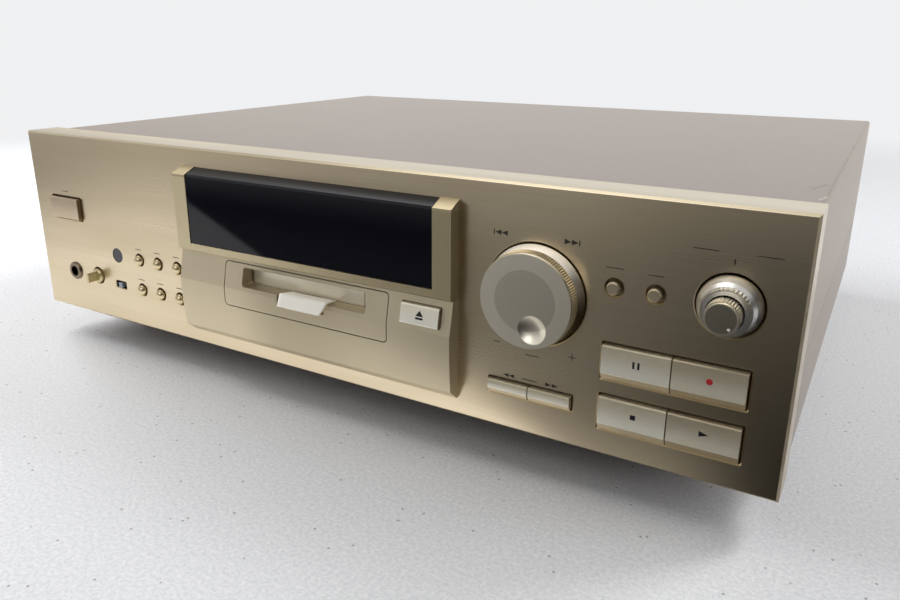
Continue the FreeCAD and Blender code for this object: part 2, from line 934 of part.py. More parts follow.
def display_tube():
    x0 = module_middle - tube_width / 2
    glass = plate(x0, x0 + tube_width, up(tube_foot), up(tube_head), 1.5, face - tube_front, panel_back)
    nib = rod_x(face, up((tube_foot + tube_head) / 2), 1.4, x0 + tube_width - 0.5, x0 + tube_width + 4)
    return glass.fuse(nib)


# Keys.
def stem(x, z, start, travel):
    return rod_y(x, z, stem_radius, start, switch_front - travel - plunger_gap)


def bar_key(x0, x1, z0, z1, bevel):
    """Flat key with a bright upper edge and a wide lower bevel, flanged behind the panel."""
    foot_z = z0 + key_gap
    head_z = z1 - key_gap
    front = face - key_proud
    profile = [
        (panel_back, foot_z),
        (front + bevel / 2, foot_z),
        (front, foot_z + bevel),
        (front, head_z - key_edge),
        (front + key_edge, head_z),
        (panel_back, head_z),
    ]
    body = along_x(profile, x0, x1)
    body = body.fuse(box(x0, x1, panel_back, panel_back + key_flange, z0 - key_lap, z1 + key_lap))
    middle_x = (x0 + x1) / 2
    middle_z = (z0 + z1) / 2
    return body.fuse(stem(middle_x, middle_z, panel_back + key_flange, key_travel)).removeSplitter()


def key_pair(hole, bevel):
    x0, x1, z0, z1 = hole
    middle = (x0 + x1) / 2
    left = bar_key(x0 + key_end_gap, middle - key_split / 2, z0, z1, bevel)
    right = bar_key(middle + key_split / 2, x1 - key_end_gap, z0, z1, bevel)
    return left, right


def power_button():
    x0, x1, z0, z1 = power_hole()
    front = face - key_proud
    cap = plate(x0 + key_gap, x1 - key_gap, z0 + key_gap, z1 - key_gap, key_edge, front, panel_back)
    rim = [e for e in cap.Edges if all(abs(v.Y - front) < 0.01 for v in e.Vertexes)]
    cap = cap.makeChamfer(key_edge * 0.8, rim)
    flange = box(x0 - key_lap, x1 + key_lap, panel_back, panel_back + key_flange, z0 - key_lap, z1 + key_lap)
    shaft = stem(power_x, (z0 + z1) / 2, panel_back + key_flange, power_travel)
    return cap.fuse(flange).fuse(shaft).removeSplitter()


def round_base(radius, rim, x, z):
    """Shank, flange and stem of a round key, from its rim to its switch."""
    end = switch_front - key_travel - plunger_gap
    profile = [
        (0, rim),
        (radius, rim),
        (radius, panel_back),
        (round_flange, panel_back),
        (round_flange, panel_back + key_flange),
        (stem_radius, panel_back + key_flange),
        (stem_radius, end),
        (0, end),
    ]
    return turned(profile, x, z)


def domed_button(x, z):
    rim = face - round_rim
    ball = (round_cap ** 2 + round_dome ** 2) / (2 * round_dome)
    crown = Part.makeSphere(ball, V(x, rim - round_dome + ball, z))
    crown = crown.common(rod_y(x, z, round_cap, rim - round_dome - 1, rim))
    return round_base(round_cap, rim, x, z).fuse(crown).removeSplitter()


def flat_button(x, z):
    front = face - flat_proud
    rim = front + flat_edge
    crown = turned([(0, front), (flat_face, front), (flat_cap, rim), (0, rim)], x, z)
    return round_base(flat_cap, rim, x, z).fuse(crown).removeSplitter()


def eject_button():
    foot_z = up(eject_foot) + key_gap
    head_z = up(eject_head) - key_gap
    half = eject_width / 2 - key_gap
    back = module_wall

    def at(height, shift):
        return face - surface_proud(height - foot_height) + shift

    front = [
        (at(foot_z, back), foot_z),
        (at(foot_z, -eject_proud + 0.4), foot_z),
        (at(foot_z + 0.5, -eject_proud), foot_z + 0.5),
        (at(head_z - key_edge, -eject_proud), head_z - key_edge),
        (at(head_z, -eject_proud + key_edge), head_z),
        (at(head_z, back), head_z),
    ]
    body = along_x(front, eject_middle - half, eject_middle + half)
    low = up(eject_foot) - key_lap
    high = up(eject_head) + 0.9
    flange = [
        (at(low, back), low),
        (at(high, back), high),
        (at(high, back + key_flange), high),
        (at(low, back + key_flange), low),
    ]
    body = body.fuse(along_x(flange, eject_middle - half - key_lap, eject_middle + half + key_lap))
    middle = (foot_z + head_z) / 2
    shaft = stem(eject_middle, middle, at(middle, back), key_travel)
    return body.fuse(shaft).removeSplitter()


def timer_slider():
    z = up(timer_height)
    half = timer_opening / 2 - key_gap
    lever = plate(sensor_x - 1.5, sensor_x + 1.5, z - half, z + half, 0.4, face - 0.6, panel_back + 3.0)
    return lever.fuse(
        box(sensor_x - 3.4, sensor_x + 3.4, panel_back + 3.0, panel_back + 4.4, z - 2.4, z + 2.4)
    ).removeSplitter()


def timer_switch():
    z = up(timer_height)
    front = panel_back + 2.8
    body = box(sensor_x - 8, sensor_x + 8, front, board_front, z - 3.6, z + 3.6)
    reach = 3.4 + timer_throw + 0.2
    body = body.cut(box(sensor_x - reach, sensor_x + reach, front + 0.1, front + 1.7, z - 2.5, z + 2.5))
    slit = timer_throw + 1.7
    half = timer_opening / 2
    return body.cut(box(sensor_x - slit, sensor_x + slit, front - 1, front + 1, z - half, z + half))


def sensor_window():
    profile = [
        (0, face + 0.3),
        (sensor_radius, face + 0.3),
        (sensor_radius, panel_back),
        (sensor_radius + 1.2, panel_back),
        (sensor_radius + 1.2, panel_back + 1.2),
        (2.5, panel_back + 1.2),
        (2.5, board_front),
        (0, board_front),
    ]
    return turned(profile, sensor_x, up(sensor_height))


# Dials and their controls.
def jog_dial():
    z = up(jog_height)
    back = face + jog_sink
    front = face - jog_proud
    cone_front = face - jog_flange_proud
    band_back = cone_front - jog_groove
    band_front = face - jog_band_proud
    valley = jog_band_radius - jog_rib_depth
    core = valley - 0.6
    bore = jog_shaft_radius + press
    bore_end = front + jog_wall - 0.4
    profile = [
        (bore, bore_end),
        (bore, face - 0.1),
        (jog_hub, face - 0.1),
        (jog_hub, front + jog_wall),
        (jog_cup_radius, front + jog_wall),
        (jog_cup_radius, back),
        (jog_radius, back),
        (jog_radius, face - jog_skirt_proud),
        (valley, cone_front),
        (core, cone_front),
        (core, band_front),
        (valley, band_front),
        (jog_face_radius, front),
        (jog_ring_radius, front),
        (jog_ring_radius - jog_ring_depth, front + jog_ring_depth),
        (0, front + jog_ring_depth),
        (0, bore_end),
    ]
    body = turned(profile, jog_x, z)
    grip = ribbed_ring(jog_x, z, jog_band_radius, core - 0.4, jog_ribs, jog_rib_depth, band_front, band_back)
    body = body.fuse(grip)
    turn = math.radians(dimple_turn)
    ball = (dimple_radius ** 2 + dimple_depth ** 2) / (2 * dimple_depth)
    x = jog_x + dimple_reach * math.sin(turn)
    low = z - dimple_reach * math.cos(turn)
    hollow = Part.makeSphere(ball, V(x, front - ball + dimple_depth, low))
    return body.cut(hollow).removeSplitter()


def jog_shaft():
    start = face - jog_proud + jog_wall
    return rod_y(jog_x, up(jog_height), jog_shaft_radius, start, face + jog_shaft_end)


def jog_encoder():
    z = up(jog_height)
    half = encoder_side / 2
    front = face + encoder_front
    body = box(jog_x - half, jog_x + half, front, face + encoder_rear, z - half, z + half)
    body = body.fuse(rod_y(jog_x, z, jog_shaft_radius + bush_wall, face + 0.2, front))
    bore = rod_y(jog_x, z, jog_shaft_radius + running, face, face + jog_shaft_end + fit)
    return body.cut(bore).removeSplitter()


def jog_holder():
    z = up(jog_height)
    half = carrier_width / 2
    front = face + encoder_rear
    rear = switch_front - jog_travel - plunger_gap
    leaf = plate(jog_x - half, jog_x + half, z - carrier_height / 2, z + carrier_height / 2, 2.0, front, rear)
    for x in guide_places():
        leaf = leaf.cut(rod_y(x, z, guide_radius + running, front - 1, rear + 1))
    return leaf


def guide_places():
    return [jog_x - guide_offset, jog_x + guide_offset]


def balance_ring():
    z = up(level_height)
    back = face + 1.5
    floor = face - ring_floor
    band_back = face - skirt_proud
    band_front = face - band_proud + 0.5
    core = ring_face_radius - 0.1
    profile = [
        (sleeve_bore, floor),
        (ring_bore, floor),
        (ring_bore, face - band_proud),
        (ring_face_radius, face - band_proud),
        (core, band_front),
        (core, band_back),
        (band_radius + 0.2, band_back),
        (10.2, face - 4.6),
        (11.2, face - 2.4),
        (skirt_radius, face - 0.2),
        (skirt_radius, back),
        (sleeve_radius, back),
        (sleeve_radius, face + sleeve_end),
        (sleeve_bore, face + sleeve_end),
    ]
    body = turned(profile, level_x, z)
    rim = band_radius - 0.2
    grip = ribbed_ring(level_x, z, rim, core - 0.4, level_ribs, level_rib_depth, band_front, band_back)
    return body.fuse(grip).removeSplitter()


def level_knob():
    z = up(level_height)
    front = face - level_reach
    back = face - ring_floor - fit
    end = face + level_shaft_end
    core = level_radius - level_rib_depth - 0.4
    profile = [
        (0, front),
        (level_face_radius, front),
        (core, front + 0.7),
        (core, back),
        (sleeve_bore - running, back),
        (sleeve_bore - running, end),
        (0, end),
    ]
    body = turned(profile, level_x, z)
    grip = ribbed_ring(level_x, z, level_radius, core - 0.4, level_ribs, level_rib_depth, front + 0.9, back)
    return body.fuse(grip).removeSplitter()


def level_control():
    z = up(level_height)
    half = level_control_side / 2
    front = face + level_control_front
    bush = panel_back + 0.5
    body = box(level_x - half, level_x + half, front, board_front, z - half, z + half)
    body = body.fuse(rod_y(level_x, z, sleeve_radius + bush_wall, bush, front))
    body = body.cut(rod_y(level_x, z, sleeve_radius + running, bush - 1, face + sleeve_end + fit))
    return body.cut(rod_y(level_x, z, sleeve_bore, bush - 1, face + level_shaft_end + fit)).removeSplitter()


def phones_knob():
    z = up(volume_height)
    front = face - volume_proud
    back = panel_back + 1.0
    end = face + pot_shaft_end
    profile = [
        (0, front),
        (volume_radius - 0.8, front),
        (volume_radius, front + 0.8),
        (volume_radius, back),
        (pot_shaft_radius, back),
        (pot_shaft_radius, end),
        (0, end),
    ]
    base = turned(profile, volume_x, z)
    half = blade_thick / 2
    rise = blade_height / 2
    blade = plate(volume_x - half, volume_x + half, z - rise, z + rise, 0.5, face - blade_reach, front + 0.3)
    return base.fuse(blade).removeSplitter()


def phones_control():
    z = up(volume_height)
    half = pot_side / 2
    front = face + pot_front
    bush = panel_back + 1.0 + fit
    body = box(volume_x - half, volume_x + half, front, board_front, z - half, z + half)
    body = body.fuse(rod_y(volume_x, z, pot_shaft_radius + bush_wall, bush, front))
    bore = rod_y(volume_x, z, pot_shaft_radius + running, bush - 1, face + pot_shaft_end + fit)
    return body.cut(bore).removeSplitter()


def phones_jack():
    z = up(phones_height)
    half = phones_body / 2
    front = face - phones_proud
    neck = phones_ring - 1.0
    nose = [
        (phones_bore, front),
        (phones_ring - 0.6, front),
        (phones_ring, front + 0.6),
        (phones_ring, face),
        (neck, face),
        (neck, panel_back),
        (phones_bore, panel_back),
    ]
    end = front + phones_depth
    body = box(phones_x - half, phones_x + half, panel_back, end + 1.5, z - half, z + half)
    body = body.cut(rod_y(phones_x, z, phones_bore, panel_back - 1, end))
    return body.fuse(turned(nose, phones_x, z)).removeSplitter()


# Boards and their parts.
def socket_board_span():
    """Small board over the headphone socket, which carries the power key's switch."""
    low = up(phones_height) + phones_body / 2 + socket_gap
    return left_side + board_margin, key_board_span()[0] - fit, low, up(left_board_head)


def key_board_span():
    left = phones_x + phones_body / 2 + socket_gap
    return left, small_columns[-1] + board_lap, up(board_foot), up(left_board_head)


def right_board_span():
    return eject_middle - board_lap, right_side - board_margin, up(board_foot), up(right_board_head)


def control_boards():
    boards = []
    for x0, x1, z0, z1 in (socket_board_span(), key_board_span(), right_board_span()):
        boards.append(box(x0, x1, board_front, board_front + board_thick, z0, z1))
    left = window_left - display_lap
    right = window_right + display_lap
    boards.append(box(left, right, panel_back, panel_back + board_thick, up(lens_foot), window_head + 3))
    return Part.makeCompound(boards)


def front_post_places():
    places = []
    for x0, x1, z0, z1 in (socket_board_span(), key_board_span()):
        for x in (x0 + post_inset, x1 - post_inset):
            places += [(x, z0 + post_inset), (x, z1 - post_inset)]
    x0, x1, z0, z1 = right_board_span()
    inner = module_right + post_offset
    places += [(x, z1 - post_inset) for x in (inner, mode_x - mode_post, x1 - post_inset)]
    return places + [(inner, z0 + post_inset), (x1 - post_inset, up(side_post_height))]


def board_posts():
    posts = [rod_y(x, z, post_radius, panel_back, board_front) for x, z in front_post_places()]
    posts += [rod_y(x, up(jog_height), guide_radius, face + guide_front, board_front) for x in guide_places()]
    posts += [rod_z(x, y, post_radius, floor_top, floor_top + floor_post) for x, y in main_board_corners()]
    return Part.makeCompound(posts)


def switch_places():
    places = list(round_key_places())
    for foot_z, head_z in ((upper_keys_foot, upper_keys_head), (lower_keys_foot, lower_keys_head)):
        quarter = transport_width / 4
        middle = (transport_left + transport_right) / 2
        for x in (middle - quarter, middle + quarter):
            places.append((x, up((foot_z + head_z) / 2)))
    for side in (-1, 1):
        places.append((jog_x + search_offset + side * search_width / 4, up((search_foot + search_head) / 2)))
    places.append((power_x, up((power_foot + power_head) / 2)))
    places.append((eject_middle, up((eject_foot + eject_head) / 2)))
    places.append((jog_x, up(jog_height)))
    return places


def key_switches():
    half = switch_side / 2
    parts = []
    for x, z in switch_places():
        body = box(x - half, x + half, board_front - switch_depth, board_front, z - half, z + half)
        plunger = rod_y(x, z, plunger_radius, switch_front, board_front - switch_depth)
        parts.append(body.fuse(plunger).removeSplitter())
    return Part.makeCompound(parts)


def main_board_span():
    x1 = cover_half - main_board_margin
    y1 = rear_face - sheet - main_board_gap
    return x1 - main_board_width, x1, y1 - main_board_depth, y1


def main_board_corners():
    x0, x1, y0, y1 = main_board_span()
    inset = corner_inset
    return [(x, y) for x in (x0 + inset, x1 - inset) for y in (y0 + inset, y1 - inset)]


def main_board():
    x0, x1, y0, y1 = main_board_span()
    z = floor_top + floor_post
    body = box(x0, x1, y0, y1, z, z + board_thick)
    top = z + board_thick
    for i in range(5):
        x = x0 + can_margin + can_pitch * i
        body = body.fuse(rod_z(x, y0 + can_margin, can_radius, top, top + can_height))
    low = (y0 + y1 - chip_side) / 2
    for i in range(3):
        x = x0 + main_board_width * (i + 0.5) / 3 - chip_side / 2
        body = body.fuse(box(x, x + chip_side, low, low + chip_side, top, top + chip_height))
    for i in range(4):
        x = x1 - can_margin - can_pitch * i
        body = body.fuse(rod_z(x, y1 - can_margin, small_can_radius, top, top + small_can_height))
    return body.removeSplitter()


def power_transformer():
    y1 = rear_face - transformer_setback
    y0 = y1 - transformer_depth
    x0 = transformer_x - transformer_width / 2
    x1 = transformer_x + transformer_width / 2
    top = floor_top + transformer_height
    seat = floor_top + strap_thick
    core = box(x0, x1, y0 + coil_reach, y1 - coil_reach, seat, top)
    coil = plate(x0 + coil_inset, x1 - coil_inset, floor_top + coil_inset, top - coil_inset, 5.0, y0, y1)
    strap = box(x0 - strap_reach, x1 + strap_reach, y0 + coil_reach, y1 - coil_reach, floor_top, seat)
    return core.fuse(coil).fuse(strap).removeSplitter()


def line_jacks():
    places = jack_places()
    x0 = min(x for x, z in places) - jack_wall
    x1 = max(x for x, z in places) + jack_wall
    z1 = max(z for x, z in places) + jack_wall
    inner = rear_face - sheet
    end = rear_edge + jack_reach
    body = box(x0, x1, inner - jack_depth, inner, floor_top, z1)
    for x, z in places:
        body = body.fuse(rod_y(x, z, jack_radius + jack_flange, inner, rear_face))
        body = body.fuse(rod_y(x, z, jack_radius, rear_face, end))
        body = body.cut(rod_y(x, z, jack_bore, rear_face, end + 1))
    return body.removeSplitter()


def optical_sockets():
    parts = []
    inner = rear_face - sheet
    for x in optical_places():
        half = optical_side / 2
        z = up(optical_height)
        front = rear_face + optical_proud
        deep = rear_face - optical_port_depth
        rear = inner - optical_depth
        body = box(x - half, x + half, rear, front, z - half, z + half)
        body = body.fuse(box(x - half - 1.5, x + half + 1.5, rear, inner, floor_top, z + half + 1))
        port = optical_port / 2
        body = body.cut(plate(x - port, x + port, z - port, z + port, 0.6, deep, front + 1))
        parts.append(body.removeSplitter())
        stub = port - 2 * running
        plug = plate(x - stub, x + stub, z - stub, z + stub, 0.5, deep, front)
        grip = cap_grip / 2
        knob = plate(x - grip, x + grip, z - grip, z + grip, 0.8, front, front + 2.0)
        rib = box(x - 0.8, x + 0.8, front + 2.0, front + 4.5, z - port, z + port)
        parts.append(plug.fuse(knob).fuse(rib).removeSplitter())
    return Part.makeCompound(parts)


def mains_inlet():
    x0, x1, z0, z1 = inlet_hole()
    rim = inlet_rim
    start = rear_face + 1.0 - inlet_depth
    body = plate(x0, x1, z0, z1, 2.0, start, rear_face)
    body = body.fuse(plate(x0 - rim, x1 + rim, z0 - rim, z1 + rim, 2.5, rear_face, rear_face + 1.0))
    wall = inlet_wall
    floor = start + inlet_floor
    body = body.cut(plate(x0 + wall, x1 - wall, z0 + wall, z1 - wall, 2.0, floor, rear_face + 2))
    for side in (-1, 1):
        body = body.fuse(
            rod_y(inlet_x + side * contact_spread, up(inlet_middle), contact_radius, start + 1, rear_face - 1)
        )
    return body.removeSplitter()


# Disc mechanism.
def mech_frame():
    outer = wall_inner + frame_wall
    y0 = face + frame_setback
    y1 = y0 + frame_reach
    x = slot_middle
    body = box(x - outer, x + outer, y0, y1, frame_floor - frame_wall, frame_floor)
    for side in (-1, 1):
        span = sorted((x + side * wall_inner, x + side * outer))
        body = body.fuse(box(span[0], span[1], y0, y1, frame_floor - frame_wall, disc_z + 9))
        for y in pin_places:
            slot = box(
                span[0] - 1,
                span[1] + 1,
                y - pin_radius - cam_gap,
                y + pin_radius + cam_gap,
                disc_z - holder_drop - pin_radius - cam_gap,
                disc_z + pin_radius + cam_gap,
            )
            body = body.cut(slot)
        for y in (y0 + 8, y1 - 8):
            body = body.fuse(rod_z(x + side * (outer - 5), y, 4.0, floor_top, frame_floor - frame_wall))
    for side in (-1, 1):
        for y in (rod_start, rod_end - rod_post):
            cheek = x + side * rod_spread
            half = 2 * rod_radius
            post = box(cheek - half, cheek + half, y, y + rod_post, frame_floor, rod_z0 + half)
            body = body.fuse(post).cut(rod_y(cheek, rod_z0, rod_radius + press, y - 1, y + rod_post + 1))
    return body.removeSplitter()


def guide_rods():
    rods = []
    for side in (-1, 1):
        rods.append(rod_y(slot_middle + side * rod_spread, rod_z0, rod_radius, rod_start, rod_end))
    return Part.makeCompound(rods)


def pickup_sled():
    y0 = rod_start + rod_post + fit
    length = rod_end - rod_post - fit - sled_stroke - y0
    half = rod_spread + 4
    x = slot_middle
    top = rod_z0 + 2 * rod_radius
    body = box(x - half, x + half, y0, y0 + length, rod_z0 - 2 * rod_radius, top)
    body = body.fuse(rod_z(x, y0 + length / 2, 5.0, top, top + 1.5))
    for side in (-1, 1):
        body = body.cut(rod_y(x + side * rod_spread, rod_z0, rod_radius + running, y0 - 1, y0 + length + 1))
    return body.removeSplitter()


def spindle_motor():
    body = rod_z(slot_middle, disc_y, motor_radius, frame_floor, frame_floor + 5.0)
    body = body.fuse(rod_z(slot_middle, disc_y, 4.0, frame_floor + 5.0, frame_floor + 6.0))
    return body.cut(rod_z(slot_middle, disc_y, shaft_radius + running, frame_floor + 1, frame_floor + 7))


def turntable():
    low = frame_floor + 6.0 + fit
    profile = [
        (0, frame_floor + 1.3),
        (shaft_radius, frame_floor + 1.3),
        (shaft_radius, low),
        (turntable_radius, low),
        (turntable_radius, table_top - 0.5),
        (turntable_radius - 0.5, table_top),
        (spindle_radius, table_top),
        (spindle_radius, table_top + 1.6),
        (spindle_radius - 0.8, table_top + 2.4),
        (0, table_top + 2.4),
    ]
    return turned_z(profile, slot_middle, disc_y)


def disc_holder():
    x = slot_middle
    half = holder_half
    low = disc_z - cartridge_thick / 2 - holder_room - holder_wall
    high = disc_z + cartridge_thick / 2 + holder_room + holder_wall
    y0 = holder_front
    y1 = holder_front + holder_depth
    body = box(x - half, x + half, y0, y1, low, high)
    wall = holder_wall
    body = body.cut(box(x - half + wall, x + half - wall, y0 - 1, y1 - wall, low + wall, high - wall))
    body = body.cut(box(x - 24, x + 24, disc_y - 14, y1 + 1, low - 1, low + wall + 0.1))
    body = body.cut(box(x - 12, x + 12, disc_y + 2, y1 + 1, high - wall - 0.1, high + 1))
    for side in (-1, 1):
        start = side * half
        end = side * (wall_inner + frame_wall)
        span = sorted((x + start, x + end))
        for y in pin_places:
            body = body.fuse(rod_x(y, disc_z, pin_radius, span[0], span[1]))
    return body.removeSplitter()


def loading_plate():
    """Side plate whose sloping slots lower the holder as the plate runs back."""
    x0 = slot_middle - wall_inner + plate_gap
    x1 = x0 + plate_thick
    y0 = pin_places[0] - loading_stroke - 8
    y1 = pin_places[1] + 8
    leaf = box(x0, x1, y0, y1, frame_floor + fit, disc_z + 6)
    reach = pin_radius + cam_gap
    for y in pin_places:
        ends = [(y, disc_z), (y - loading_stroke, disc_z - holder_drop)]
        angle = math.atan2(holder_drop, loading_stroke)
        across = (math.sin(angle) * reach, math.cos(angle) * reach)
        band = [
            (ends[0][0] - across[0], ends[0][1] + across[1]),
            (ends[0][0] + across[0], ends[0][1] - across[1]),
            (ends[1][0] + across[0], ends[1][1] - across[1]),
            (ends[1][0] - across[0], ends[1][1] + across[1]),
        ]
        slot = along_x(band, x0 - 1, x1 + 1)
        for end_y, end_z in ends:
            slot = slot.fuse(rod_x(end_y, end_z, reach, x0 - 1, x1 + 1))
        leaf = leaf.cut(slot)
    return leaf


# Write every node.
def main():
    os.makedirs("parts", exist_ok=True)
    save("front_panel", front_panel())
    save("top_cover", top_cover())
    save("chassis", chassis())
    save("rear_panel", rear_panel())
    foot_names = ("foot_front_left", "foot_front_right", "foot_rear_left", "foot_rear_right")
    for name, (x, y) in zip(foot_names, foot_places()):
        save(name, foot(x, y))
    save("foot_pads", foot_pads())
    save("housing_screws", housing_screws())
    save("display_bezel", display_bezel())
    save("display_lens", display_lens())
    save("display_tube", display_tube())
    save("slot_fascia", slot_fascia())
    save("slot_frame", slot_frame())
    save("slot_flap", slot_flap())
    save("eject_button", eject_button())
    save("power_button", power_button())
    small_names = ["upper_button_%d" % (i + 1) for i in range(3)]
    small_names += ["lower_button_%d" % (i + 1) for i in range(3)]
    small_names += ["rec_mode_button", "enter_button"]
    for name, (x, z) in zip(small_names, round_key_places()):
        make = domed_button if x in small_columns else flat_button
        save(name, make(x, z))
    pairs = (
        (("pause_button", "record_button"), transport_hole(upper_keys_foot, upper_keys_head), key_bevel),
        (("stop_button", "play_button"), transport_hole(lower_keys_foot, lower_keys_head), key_bevel),
        (("search_back_button", "search_forward_button"), search_hole(), search_bevel),
    )
    for names, hole, bevel in pairs:
        for name, shape in zip(names, key_pair(hole, bevel)):
            save(name, shape)
    save("timer_slider", timer_slider())
    save("timer_switch", timer_switch())
    save("sensor_window", sensor_window())
    save("jog_dial", jog_dial())
    save("jog_shaft", jog_shaft())
    save("jog_encoder", jog_encoder())
    save("jog_holder", jog_holder())
    save("balance_ring", balance_ring())
    save("level_knob", level_knob())
    save("level_control", level_control())
    save("phones_knob", phones_knob())
    save("phones_control", phones_control())
    save("phones_jack", phones_jack())
    save("control_boards", control_boards())
    save("board_posts", board_posts())
    save("key_switches", key_switches())
    save("main_board", main_board())
    save("power_transformer", power_transformer())
    save("line_jacks", line_jacks())
    save("optical_sockets", optical_sockets())
    save("mains_inlet", mains_inlet())
    save("mech_frame", mech_frame())
    save("guide_rods", guide_rods())
    save("pickup_sled", pickup_sled())
    save("spindle_motor", spindle_motor())
    save("turntable", turntable())
    save("disc_holder", disc_holder())
    save("loading_plate", loading_plate())


main()
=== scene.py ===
import math

import bpy
import numpy as np
from mathutils import Matrix, Vector


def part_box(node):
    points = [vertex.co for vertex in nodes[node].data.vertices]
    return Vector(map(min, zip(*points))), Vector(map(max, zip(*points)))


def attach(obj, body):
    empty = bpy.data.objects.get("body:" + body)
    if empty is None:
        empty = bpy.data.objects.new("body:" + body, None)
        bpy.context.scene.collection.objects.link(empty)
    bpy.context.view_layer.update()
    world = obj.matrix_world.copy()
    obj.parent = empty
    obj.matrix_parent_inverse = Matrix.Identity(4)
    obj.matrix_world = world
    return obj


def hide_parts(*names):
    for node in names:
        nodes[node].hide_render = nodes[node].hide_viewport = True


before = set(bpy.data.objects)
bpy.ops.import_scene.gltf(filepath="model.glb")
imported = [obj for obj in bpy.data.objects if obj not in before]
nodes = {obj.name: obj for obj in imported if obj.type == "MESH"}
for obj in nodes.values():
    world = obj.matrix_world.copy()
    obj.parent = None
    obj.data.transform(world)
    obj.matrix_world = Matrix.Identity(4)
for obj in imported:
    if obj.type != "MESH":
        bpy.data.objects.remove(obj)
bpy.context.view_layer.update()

scene = bpy.context.scene
mm = 0.001
face = -170.25  # front of the panel, in millimetres like every place below
edge = 18.0  # lower edge of the panel above the floor
print("frame loaded:", len(nodes), "nodes")


def tone(red, green, blue):
    # screen colour 0-255 to linear light: ((c + 0.055) / 1.055) to the power 2.4, and c / 12.92 near black
    light = [c / 255 / 12.92 if c < 11 else ((c / 255 + 0.055) / 1.055) ** 2.4 for c in (red, green, blue)]
    return (*light, 1.0)


def plug(tree, slot, value):
    if isinstance(value, Wire):
        tree.links.new(value.socket, slot)
    else:
        slot.default_value = value


def addNode(tree, kind, settings=None, values=None, output=0):
    made = tree.nodes.new("ShaderNode" + kind)
    for name, value in (settings or {}).items():
        setattr(made, name, value)
    for name, value in (values or {}).items():
        plug(tree, made.inputs[name], value)
    return Wire(tree, made.outputs[output])


class Wire:
    # one output socket, so that shader sums read like ordinary ones
    def __init__(self, tree, socket):
        self.tree = tree
        self.socket = socket

    def math(self, operation, *others):
        return addNode(self.tree, "Math", {"operation": operation}, dict(enumerate(others)))

    def __add__(self, other):
        return self.math("ADD", self, other)

    def __sub__(self, other):
        return self.math("SUBTRACT", self, other)

    def __rsub__(self, other):
        return self.math("SUBTRACT", other, self)

    def __mul__(self, other):
        return self.math("MULTIPLY", self, other)

    def __truediv__(self, other):
        return self.math("DIVIDE", self, other)

    def __abs__(self):
        return self.math("ABSOLUTE", self)

    def least(self, other):
        return self.math("MINIMUM", self, other)

    def most(self, other):
        return self.math("MAXIMUM", self, other)

    def wave(self):
        return self.math("SINE", self)

    def root(self):
        return self.math("SQRT", self)

    def step(self, low, high, start=0.0, end=1.0):
        # smooth rise from start to end as the value goes from low to high
        values = dict(enumerate((self, low, high, start, end)))
        return addNode(self.tree, "MapRange", {"interpolation_type": "SMOOTHSTEP"}, values)


class Finish:
    # one material: plain values on its shader, wires where a value varies
    def __init__(self, name, plain):
        self.material = bpy.data.materials.new(name)
        self.material.use_nodes = True
        self.tree = self.material.node_tree
        self.shader = self.tree.nodes["Principled BSDF"]
        for slot, value in plain.items():
            self.give(slot, value)

    def give(self, slot, value):
        plug(self.tree, self.shader.inputs[slot], value)

    def node(self, kind, settings=None, values=None, output=0):
        return addNode(self.tree, kind, settings, values, output)

    def place(self, stretch=(1, 1, 1)):
        where = self.node("TexCoord", output="Object")
        return self.node("Mapping", None, {"Vector": where, "Scale": stretch})

    def axes(self, names="XYZ"):
        # the named axes, in millimetres
        where = self.node("TexCoord", output="Object")
        return [self.node("SeparateXYZ", None, {0: where}, name) * (1 / mm) for name in names]

    def noise(self, where, scale=1.0, detail=2.0, rough=0.5):
        values = {"Vector": where, "Scale": scale, "Detail": detail, "Roughness": rough}
        return self.node("TexNoise", None, values)

    def cells(self, where, scale=1.0, flat=False):
        kind = {"voronoi_dimensions": "2D" if flat else "3D"}
        return self.node("TexVoronoi", kind, {"Vector": where, "Scale": scale})

    def mix(self, share, low, high):
        return self.node("Mix", {"data_type": "RGBA"}, {0: share, 6: low, 7: high}, 2)

    def bump(self, height, depth, under=None):
        values = {"Height": height, "Distance": depth * mm, "Strength": 1.0}
        if under is not None:
            values["Normal"] = under
        return self.node("Bump", None, values)

    def onto(self, *names):
        for name in names:
            for slot in nodes[name].material_slots:
                slot.material = self.material


# camera
cameraView = {
    "place": (236.906, -444.978, 184.099),
    "yaw": 30.7106,  # degrees to the left of straight ahead
    "pitch": 17.3730,  # degrees down
    "roll": 0.1455,
    "lens": 30.484,
    "sensor": 36,
    "shift": (0.010572, -0.029508),
    "nearest": 10,
}


def makeCamera(view):
    # forward = (-sin yaw cos pitch, cos yaw cos pitch, -sin pitch), right and up square to it, then rolled
    yaw, pitch, roll = (math.radians(view[k]) for k in ("yaw", "pitch", "roll"))
    forward = Vector((-math.sin(yaw) * math.cos(pitch), math.cos(yaw) * math.cos(pitch), -math.sin(pitch)))
    level = Vector((math.cos(yaw), math.sin(yaw), 0))
    upright = level.cross(forward)
    right = math.cos(roll) * level + math.sin(roll) * upright
    up = math.cos(roll) * upright - math.sin(roll) * level
    data = bpy.data.cameras.new("deckCamera")
    data.sensor_width = view["sensor"]
    data.lens = view["lens"]
    data.shift_x, data.shift_y = view["shift"]
    data.clip_start = view["nearest"] * mm
    camera = bpy.data.objects.new("deckCamera", data)
    turn = Matrix((right, up, -forward)).transposed().to_4x4()
    camera.matrix_world = Matrix.Translation(Vector(view["place"]) * mm) @ turn
    scene.collection.objects.link(camera)
    scene.camera = camera


makeCamera(cameraView)
print("camera placed")


